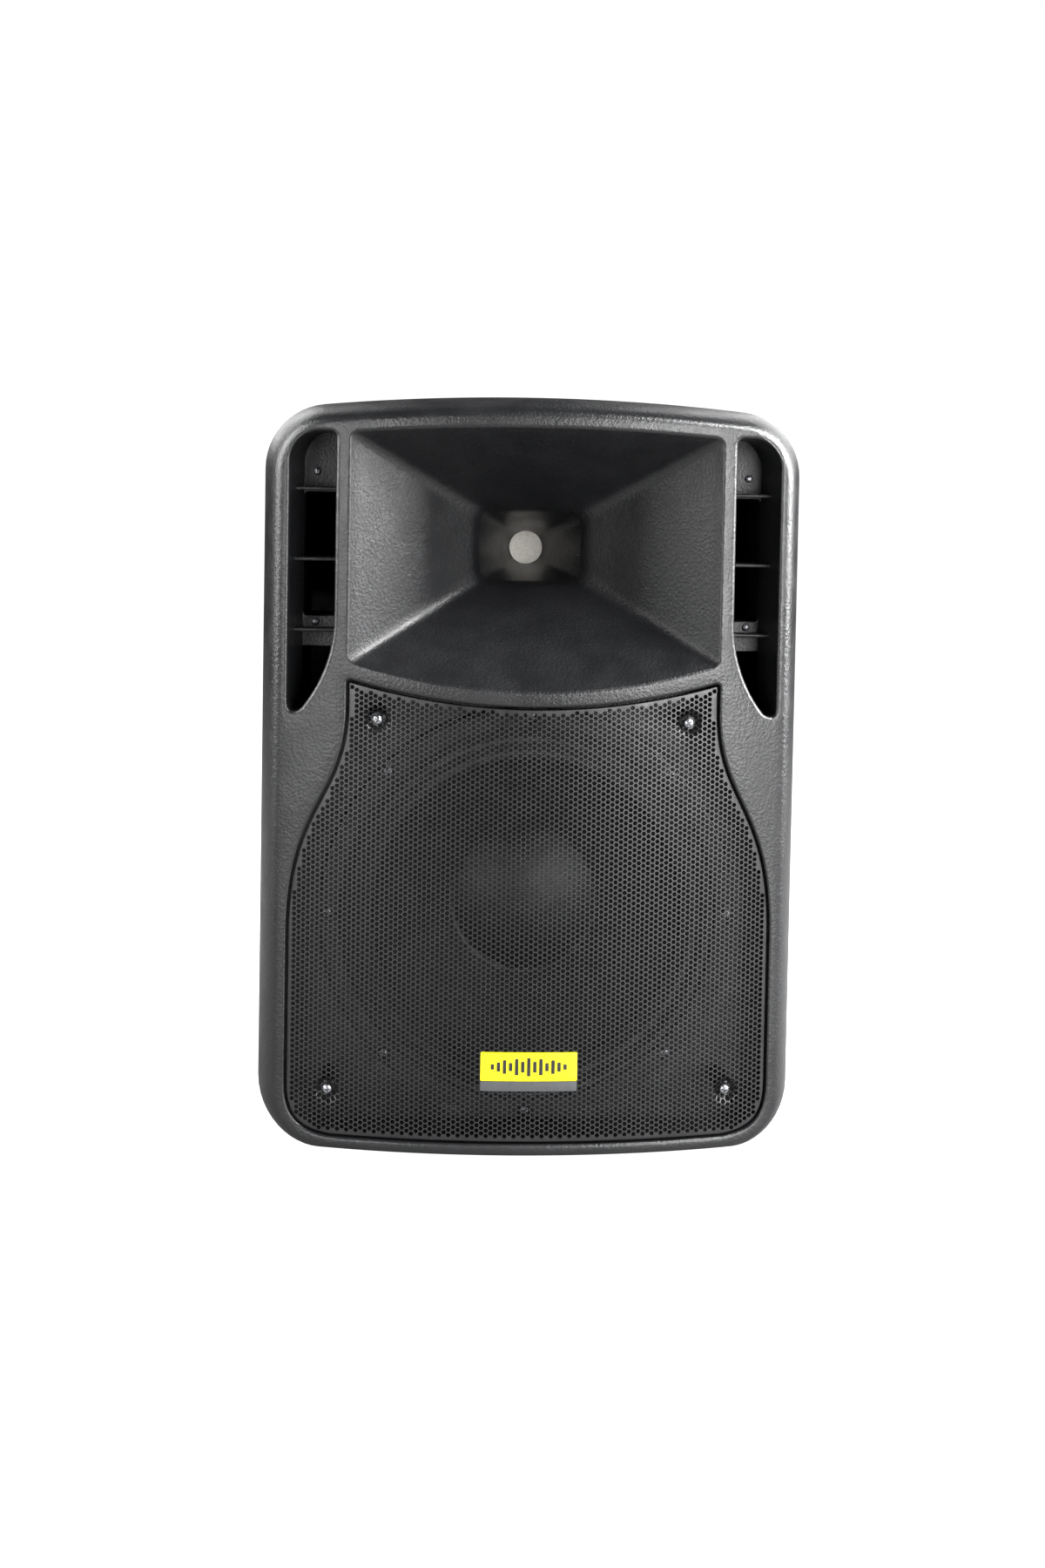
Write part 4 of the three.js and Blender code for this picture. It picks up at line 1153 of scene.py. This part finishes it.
def curved_slab(loop, near, far, rounding):
    """A plate that follows the curved front, with a rounded front edge."""
    skin = Skin()
    rings = []
    for turn in (0, 22, 45, 68, 90):
        shape = offset(loop, -rounding * (1 - sine(turn)))
        rings.append(on_front(shape, near + rounding * (1 - cosine(turn))))
    rings.append(on_front(loop, far))
    made = skin.tube(rings)
    skin.sheet(made[0], spacing=4, lift=lambda x, z: (x, at(sag(x) + near), z))
    skin.sheet(made[-1], spacing=4, lift=lambda x, z: (x, at(sag(x) + far), z))
    return skin


def badge():
    """A plain two-tone badge: a yellow field with a row of plain level bars over a dark strip."""
    half = BADGE_HIGH.x
    split = BADGE_LOW.z + 7.3
    face = GRILLE_RECESS - 0.9
    height = (BADGE_HIGH.z - split) / 2
    field = rounded_box(half, height, 0.8, 0, split + height, straight=24, corner=4)
    make("badge_field", curved_slab(field, face, GRILLE_RECESS - 0.05, 0.3), "badge_yellow",
         replaces=["badge_plate"])
    drop = (split - 0.3 - BADGE_LOW.z) / 2
    strip = rounded_box(half, drop, 0.6, 0, BADGE_LOW.z + drop, straight=24, corner=4)
    make("badge_strip", curved_slab(strip, face + 0.2, GRILLE_RECESS - 0.05, 0.2),
         "badge_strip")
    levels = (0.3, 0.5, 0.75, 0.45, 0.9, 0.6, 1.0, 0.6, 0.9, 0.45, 0.75, 0.5, 0.3)
    bars = Skin()
    pitch = 4.3
    for i, level in enumerate(levels):
        x = (i - (len(levels) - 1) / 2) * pitch
        bar = rounded_box(1.25, 6.6 * level, 0.5, x, split + height, straight=2, corner=3)
        part = curved_slab(bar, face - 0.18, face + 0.1, 0.12)
        start = len(bars.points)
        bars.points += part.points
        bars.faces += [tuple(start + index for index in points) for points in part.faces]
    make("badge_bars", bars, "badge_black")


# --- Ports ----------------------------------------------------------------------------------------

def port_ducts():
    """A flange behind each window, three vanes with rounded front edges, and the duct behind them."""
    face = TUNNEL_DEPTH + 0.3
    window = [(x - draft(x, TUNNEL_DEPTH), z) for x, z in window_outline()]
    low_edge = VANE_HEIGHTS[0] - 16
    panel = [(x, z) for x, z in offset(window, 1.5) if z > low_edge]
    first = max(range(len(panel)), key=lambda i: panel[i][0] - panel[i][1])
    panel = panel[first:] + panel[:first]
    airway_low = VANE_HEIGHTS[0] + 9.5
    airway_high = VANE_HEIGHTS[2] - VANE_THICKNESS / 2 - 1
    inner, outer = WINDOW_INNER + 0.1, WINDOW_OUTER - TUNNEL_DRAFT - 0.1
    half_x, half_z = (outer - inner) / 2, (airway_high - airway_low) / 2
    middle_x, middle_z = inner + half_x, airway_low + half_z
    airway = rounded_box(half_x, half_z, 3, middle_x, middle_z, straight=8, corner=6)
    for side, sign in (("left", -1), ("right", 1)):
        skin = Skin()
        edge = skin.tube([flat(panel, depth) for depth in (face, face + 3)])
        tube = skin.tube([
            [(x, at(face + depth), z) for x, z in offset(airway, grow)]
            for grow, depth in ((1, 0), (0.3, 0.3), (0, 1), (0, 30), (0, 55), (1.2, 55), (1.2, 3))
        ])
        skin.sheet(edge[0], [tube[0]])
        skin.sheet(edge[1], [tube[-1]])
        for z in VANE_HEIGHTS:
            vane(skin, z, face + (26 if z == VANE_HEIGHTS[1] else 2))
        skin.points = [(sign * x, y, z) for x, y, z in skin.points]
        node = f"port_duct_{side}"
        make(f"vaned_{node}", skin, "port_plastic", replaces=[node], sharp=40)


def vane(skin, z, far):
    """A shelf across the port, drawn as a section in depth and height and run along the width."""
    half = VANE_THICKNESS / 2
    section = [(far, z - half), (far, z + half)]
    for turn in range(90, 271, 15):
        section.append((VANE_DEPTH + half + half * cosine(turn), z + half * sine(turn)))
    skin.shut(skin.tube([
        [(x, at(depth), height) for depth, height in section]
        for x in (WINDOW_INNER - 1.2, 160, WINDOW_OUTER)
    ]))


# --- Woofer ---------------------------------------------------------------------------------------

def cone_depth(radius):
    return CONE_DEPTH + (CONE_RADIUS - radius) * CONE_SLOPE


def flex(name, skin, finish, node, still, moving):
    """Makes a piece on no body, its transform baked into its mesh; the two depths are turned into
    points that nothing uses.
    """
    piece = make(name, skin, finish, body=None, replaces=[node], sharp=60)
    start, end = ((0, at(depth) * MM, WOOFER_Z * MM) for depth in (still, moving))
    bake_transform(piece)
    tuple(start)
    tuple(end)


def woofer():
    skin = Skin()
    rim = [
        (SURROUND_OUTER - 3, FRAME_DEPTH + 1.2), (SURROUND_OUTER - 2.2, FRAME_DEPTH + 0.3),
        (SURROUND_OUTER - 1, FRAME_DEPTH), (FRAME_RADIUS - 1.2, FRAME_DEPTH),
        (FRAME_RADIUS - 0.35, FRAME_DEPTH + 0.35), (FRAME_RADIUS, FRAME_DEPTH + 1.2),
        (FRAME_RADIUS, BAFFLE_DEPTH - 0.3), (141, BAFFLE_DEPTH - 0.3), (139, 72), (134.5, 70),
    ]
    skin.lathe(rim, 0, WOOFER_Z, 160, closed=True)
    seat = COIL_RADIUS + 8
    rear = [(seat, 140), (76, 140), (84, 134.5), (80, 131), (74, 136), (seat, 136.5)]
    skin.lathe(rear, 0, WOOFER_Z, 96, closed=True)
    spokes = 6
    for i in range(spokes):
        spoke(skin, 360 * i / spokes)
    make("woofer_basket", skin, "frame_metal", replaces=["woofer_frame"])

    gasket = Skin()
    notches = 8
    for i in range(notches):
        gasket_segment(gasket, 360 * i / notches, 360 * (i + 1) / notches)
    make("gasket_segments", gasket, "gasket_card", replaces=["woofer_gasket"])

    soft = Skin()
    front = []
    steps = 44
    inner = CONE_RADIUS - 1.5
    for i in range(steps + 1):
        t = i / steps
        radius = lerp(SURROUND_OUTER + 0.6, inner, t)
        ripple = math.sin(math.pi * 2 * min(max((t - 0.08) / 0.84, 0), 1)) ** 2
        depth = lerp(FRAME_DEPTH - 1, cone_depth(CONE_RADIUS) - 0.6, smooth(t))
        front.append((radius, depth - 5 * ripple))
    back = [(radius, depth + 0.8) for radius, depth in reversed(front)]
    soft.lathe(front + back, 0, WOOFER_Z, 144, closed=True)
    flex("rippled_surround", soft, "surround_cloth", "surround", FRAME_DEPTH - 1, 57.2)

    paper = Skin()
    neck = COIL_RADIUS + 2.2
    edge = cone_depth(CONE_RADIUS)
    front = [(CONE_RADIUS + 1, edge + 0.6), (CONE_RADIUS - 1, edge + 0.4)]
    for i in range(1, 41):
        radius = lerp(CONE_RADIUS - 2, neck, i / 40)
        outer_rib, inner_rib = (math.exp(-((radius - r) / 1.2) ** 2) for r in (98, 80))
        rib = 0.35 * outer_rib + 0.35 * inner_rib
        front.append((radius, cone_depth(radius) + 0.5 - rib))
    back = [(radius, depth + 0.9) for radius, depth in reversed(front)]
    paper.lathe(front + back, 0, WOOFER_Z, 144, closed=True)
    make("paper_cone", paper, "cone_paper", body="cone_assembly", replaces=["woofer_cone"])

    cap = Skin()
    edge = cone_depth(CAP_RADIUS) - 0.4
    front = [(0, edge - CAP_RISE)]
    for i in range(1, 25):
        radius = CAP_RADIUS * i / 24
        front.append((radius, edge - CAP_RISE * (1 - (radius / CAP_RADIUS) ** 2)))
    for out, back in ((1.6, 0.1), (2.4, 0.6)):
        front.append((CAP_RADIUS + out, edge + back - out * CONE_SLOPE))
    cap.lathe(front, 0, WOOFER_Z, 128)
    make("dust_dome", cap, "cap_paper", body="cone_assembly", replaces=["dust_cap"])


def spider():
    """A cupped, corrugated disc, from its rim at the basket in to the coil."""
    skin = Skin()
    steps = 72
    ridges = 6
    front = []
    for i in range(steps + 1):
        t = i / steps
        wave = 0.9 * math.sin(math.pi * 2 * ridges * t) * min(1, 8 * t, 8 * (1 - t))
        depth = lerp(SPIDER_BACK, SPIDER_FRONT, smooth(t))
        front.append((lerp(SPIDER_RIM, COIL_RADIUS + 2.4, t), depth + wave))
    back = [(radius, depth + 0.6) for radius, depth in reversed(front)]
    skin.lathe(front + back, 0, WOOFER_Z, 96, closed=True)
    flex("corrugated_spider", skin, "spider_cloth", "spider", SPIDER_BACK, SPIDER_FRONT)


def spoke(skin, angle):
    """One arm of the basket, from the rim back to the magnet's seat."""
    path = [(138.5, 66), (137.5, 74), (134, 84), (110, 108), (90, 128), (80, 134)]
    half_widths = (17, 15, 13, 11, 12, 14)
    rings = []
    for (radius, depth), half in zip(path, half_widths):
        corners = (
            (-half, 0), (-half + 1.5, -1.4), (half - 1.5, -1.4),
            (half, 0), (half - 1.5, 1.6), (-half + 1.5, 1.6),
        )
        ring = []
        for side, lift in corners:
            out = radius + lift * 0.7
            x = out * cosine(angle) - side * sine(angle)
            z = out * sine(angle) + side * cosine(angle)
            ring.append((x, at(depth + lift * 0.7), WOOFER_Z + z))
        rings.append(ring)
    skin.shut(skin.tube(rings))


def gasket_segment(skin, start, end):
    """One strip of gasket between two frame screws, scooped out round each of them."""
    inner, outer = SURROUND_OUTER + 0.6, FRAME_RADIUS - 1.6
    scoop = 6.2
    last = math.degrees(math.asin((outer - SCREW_CIRCLE) / scoop))
    turns = [lerp(-85, last, i / 14) for i in range(15)]
    beside = [(SCREW_CIRCLE + scoop * sine(turn), scoop * cosine(turn)) for turn in turns]
    leans = [math.degrees(math.atan2(along, out)) for out, along in beside]
    reaches = [math.hypot(out, along) for out, along in beside]
    loop = arc(0, WOOFER_Z, outer, start + leans[-1], end - leans[-1], 26)
    for lean, reach in list(zip(leans, reaches))[::-1]:
        loop.append((reach * cosine(end - lean), WOOFER_Z + reach * sine(end - lean)))
    loop += arc(0, WOOFER_Z, inner, end - leans[0], start + leans[0], 26)
    loop.append((inner * cosine(start + leans[0]), WOOFER_Z + inner * sine(start + leans[0])))
    for lean, reach in list(zip(leans, reaches))[:-1]:
        loop.append((reach * cosine(start + lean), WOOFER_Z + reach * sine(start + lean)))
    near, far = FRAME_DEPTH - 3, FRAME_DEPTH - 0.1
    rings = [flat(offset(loop, -inset), depth) for inset, depth in (
        (0.25, near), (0.08, near + 0.08), (0, near + 0.25), (0, far)
    )]
    made = skin.tube(rings)
    skin.sheet(made[0])
    skin.sheet(made[-1])


# --- Horn driver's screen -------------------------------------------------------------------------

def throat_screen():
    """Plain-woven wire at 45 degrees over the throat."""
    radius = THROAT_RADIUS - 0.15
    pitch = 0.8
    wire = 0.24
    lift = 0.2
    depth = THROAT_DEPTH - 0.6
    skin = Skin()
    count = int(radius / pitch)
    for across in (0, 1):
        for i in range(-count, count + 1):
            side = i * pitch
            half = math.sqrt(max(radius ** 2 - side ** 2, 0))
            steps = max(4, int(half * 2 / (pitch / 2)))
            rings = []
            for j in range(steps + 1):
                along = lerp(-half, half, j / steps)
                rise = lift * math.cos(math.pi * (along / pitch + i + across))
                ring = []
                for turn in range(0, 360, 60):
                    u, v = along, side + wire * cosine(turn)
                    x, z = (u - v, u + v) if across else (u + v, v - u)
                    y = at(depth - rise + wire * sine(turn))
                    ring.append((x / math.sqrt(2), y, THROAT_Z + z / math.sqrt(2)))
                rings.append(ring)
            skin.tube(rings)
    rim, back = THROAT_RADIUS + 0.2, THROAT_DEPTH + 0.8
    skin.lathe([(0, THROAT_DEPTH), (rim, THROAT_DEPTH), (rim, back), (0, back)], 0, THROAT_Z, 64)
    make("woven_screen", skin, "screen_wire", replaces=["throat_screen"])


# --- Rear fittings --------------------------------------------------------------------------------

def input_plate():
    """Painted steel plate with round corners, socket cut-outs and raised rings round them."""
    skin = Skin()
    near, far = PLATE_NEAR, BACK_DEPTH - 2.7
    half_x, half_z = PLATE_HALF_WIDTH - 0.4, PLATE_HALF_HEIGHT - 0.4
    loop = rounded_box(half_x, half_z, 4.6, 0, PLATE_Z, straight=12, corner=8)
    edge = skin.tube([
        flat(offset(loop, -inset), depth)
        for inset, depth in ((0.7, near), (0.2, near - 0.2), (0, near - 0.7), (0, far))
    ])
    holes = []
    for node in ("speaker_socket_1", "speaker_socket_2"):
        holes.append(skin.tube([
            flat(circle(radius, middle(node).x, PLATE_Z, 64), depth)
            for radius, depth in ((13.8, near), (13.4, near - 0.3), (13.3, far))
        ])[0])
    skin.sheet(edge[0], holes)
    for node in ("speaker_socket_1", "speaker_socket_2"):
        rim = circle(17.5, middle(node).x, PLATE_Z, 72)
        skin.tube([
            [(x, at(near + lift), z) for x, z in offset(rim, grow)]
            for grow, lift in ((0.5, -0.1), (0.3, 0.22), (0, 0.3), (-0.3, 0.22), (-0.5, -0.1))
        ])
    make("rear_input_plate", skin, "plate_paint", replaces=["input_plate"])


def speaker_sockets():
    """Round twist-lock sockets: a barrel, a keyed bore, a core with four contacts."""
    for i in (1, 2):
        node = f"speaker_socket_{i}"
        x = middle(node).x
        far = BACK_DEPTH - 30
        skin = Skin()
        skin.lathe([
            (0, far), (13, far), (13, BACK_DEPTH - 1.2), (12.7, BACK_DEPTH - 0.6),
            (12.2, BACK_DEPTH - 0.4), (11, BACK_DEPTH - 0.4), (10.6, BACK_DEPTH - 0.8),
            (SOCKET_RADIUS, BACK_DEPTH - 1.6), (SOCKET_RADIUS, BACK_DEPTH - 25),
            (5.6, BACK_DEPTH - 25), (5.6, BACK_DEPTH - 5), (5, BACK_DEPTH - 4.2),
            (0, BACK_DEPTH - 4.2),
        ], x, PLATE_Z, 72)
        contact = (5.4, -14), (6.3, -12), (6.3, 12), (5.4, 14)
        key = (10.6, -8), (9.4, -8), (9.4, 8), (10.6, 8)
        for turns, shape, depths in (
            ((45, 135, 225, 315), contact, (24, 6)), ((90, 270), key, (20, 3)),
        ):
            for turn in turns:
                loop = [(x + r * cosine(turn + s), PLATE_Z + r * sine(turn + s)) for r, s in shape]
                skin.shut(skin.tube([flat(loop, BACK_DEPTH - depth) for depth in depths]))
        make(f"twist_lock_{node}", skin, "port_plastic", replaces=[node])


def pole_socket():
    """The stand socket in the base: a flange, a chamfered mouth and a blind bore."""
    skin = Skin()
    top = high("pole_socket").z
    flange_low = low("pole_socket").z
    profile = [
        (POLE_RADIUS + 4, top), (POLE_RADIUS + 4, BASE_Z + 3),
        (22.5, BASE_Z - 0.4), (37.2, BASE_Z - 0.4), (38, BASE_Z - 1),
        (38, flange_low + 0.9), (37.2, flange_low), (22, flange_low), (20.4, flange_low + 0.4),
        (POLE_RADIUS, flange_low + 3), (POLE_RADIUS, top - 4), (0, top - 4),
    ]
    rings = []
    for radius, z in profile:
        if radius:
            rings.append(skin.ring((x, y, z) for x, y in circle(radius, 0, POLE_Y, 80)))
    for a, b in zip(rings, rings[1:]):
        skin.bridge(a, b)
    skin.cap(rings[-1], (0, POLE_Y, top - 4))
    skin.cap(rings[0], (0, POLE_Y, top))
    make("stand_socket", skin, "port_plastic", replaces=["pole_socket"])


def hidden_parts():
    """The pieces inside the cabinet keep their CAD shapes and take finished materials."""
    finishes = {
        "voice_coil": "copper",
        "top_plate": "plated_steel",
        "back_plate": "plated_steel",
        "woofer_magnet": "ferrite",
        "driver_plate": "plated_steel",
        "driver_magnet": "ferrite",
        "driver_cover": "frame_metal",
        "driver_diaphragm": "diaphragm_film",
        "driver_bolt_left": "bright_screw",
        "driver_bolt_right": "bright_screw",
        "crossover_board": "circuit_board",
        "inductor_coil": "copper",
        "capacitor": "badge_strip",
    }
    for node, finish in finishes.items():
        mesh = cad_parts[node].data
        mesh.materials.clear()
        mesh.materials.append(FINISHES[finish])


# --- Stage ----------------------------------------------------------------------------------------

def camera():
    """Just left of the middle, looking slightly down and level with the horn."""
    turn, drop, roll = 2.907, 2.195, 1.01
    ahead = Vector((sine(turn) * cosine(drop), cosine(turn) * cosine(drop), -sine(drop)))
    level = Vector((cosine(turn), -sine(turn), 0))
    rise = level.cross(ahead)
    right = cosine(roll) * level + sine(roll) * rise
    up = -sine(roll) * level + cosine(roll) * rise
    lens = bpy.data.cameras.new("photo_view")
    lens.sensor_width = 36
    lens.lens = 42.08
    lens.shift_y = -0.1378
    lens.dof.use_dof = False
    view = linked("photo_view", lens)
    view.matrix_world = Matrix.Translation((-0.0758, -1.4409, 0.4792)) @ Matrix(
        (right, up, -ahead)
    ).transposed().to_4x4()
    bpy.context.scene.camera = view


def softbox(name, place, aim, width, height, power):
    light = bpy.data.lights.new(name, "AREA")
    light.shape = "RECTANGLE"
    light.size, light.size_y = width, height
    light.energy = power
    lamp = linked(name, light)
    lamp.location = place
    lamp.rotation_euler = (aim - place).to_track_quat("-Z", "Y").to_euler()


FLOOR_GLOW = 1.05


def stage():
    half = 6
    mesh = bpy.data.meshes.new("floor")
    corners = [(-half, -half, 0), (half, -half, 0), (half, half, 0), (-half, half, 0)]
    mesh.from_pydata(corners, [], [(0, 1, 2, 3)])
    pale = Finish("pale_floor", (0.22, 0.22, 0.22), 0.9)
    pale.shade(0.04, 0.05, pale.noise(50))
    seen = pale.node("ShaderNodeLightPath").outputs["Is Camera Ray"]
    pale.shader.inputs["Emission Color"].default_value = (1, 1, 1, 1)
    pale.link(pale.spread(seen, 0, FLOOR_GLOW), pale.shader.inputs["Emission Strength"])
    mesh.materials.append(pale.done())
    linked("floor", mesh)

    world = bpy.data.worlds.new("studio")
    bpy.context.scene.world = world
    world.use_nodes = True
    tree = world.node_tree
    background = tree.nodes["Background"]
    background.inputs["Color"].default_value = (1, 1, 1, 1)
    rays = tree.nodes.new("ShaderNodeLightPath")
    level = tree.nodes.new("ShaderNodeMapRange")
    level.inputs["To Min"].default_value = 0.03
    level.inputs["To Max"].default_value = 1.1
    tree.links.new(rays.outputs["Is Camera Ray"], level.inputs["Value"])
    tree.links.new(level.outputs["Result"], background.inputs["Strength"])

    middle_of_front = Vector((0, 0, 0.33))
    for name, turn, lift, distance, width, height, power in (
        ("front_right_softbox", 30, 6, 2.3, 1.0, 1.3, 76),
        ("front_left_softbox", -32, 6, 2.3, 0.9, 1.3, 32),
        ("side_right_softbox", 88, 22, 1.9, 1.0, 1.5, 165),
        ("side_left_softbox", -87, 22, 1.9, 0.9, 1.5, 60),
        ("high_right_softbox", 58, 46, 2.3, 0.6, 0.6, 80),
        ("rear_right_softbox", 145, 30, 2.4, 1.4, 1.4, 22),
        ("rear_left_softbox", -145, 30, 2.4, 1.4, 1.4, 22),
    ):
        ray = Vector((sine(turn) * cosine(lift), -cosine(turn) * cosine(lift), sine(lift)))
        softbox(name, middle_of_front + ray * distance, middle_of_front, width, height, power)
    bpy.context.scene.view_settings.view_transform = "Standard"


front_shell()
rear_shell()
feet()
screws()
grille()
badge()
port_ducts()
woofer()
spider()
throat_screen()
input_plate()
speaker_sockets()
pole_socket()
hidden_parts()
camera()
stage()
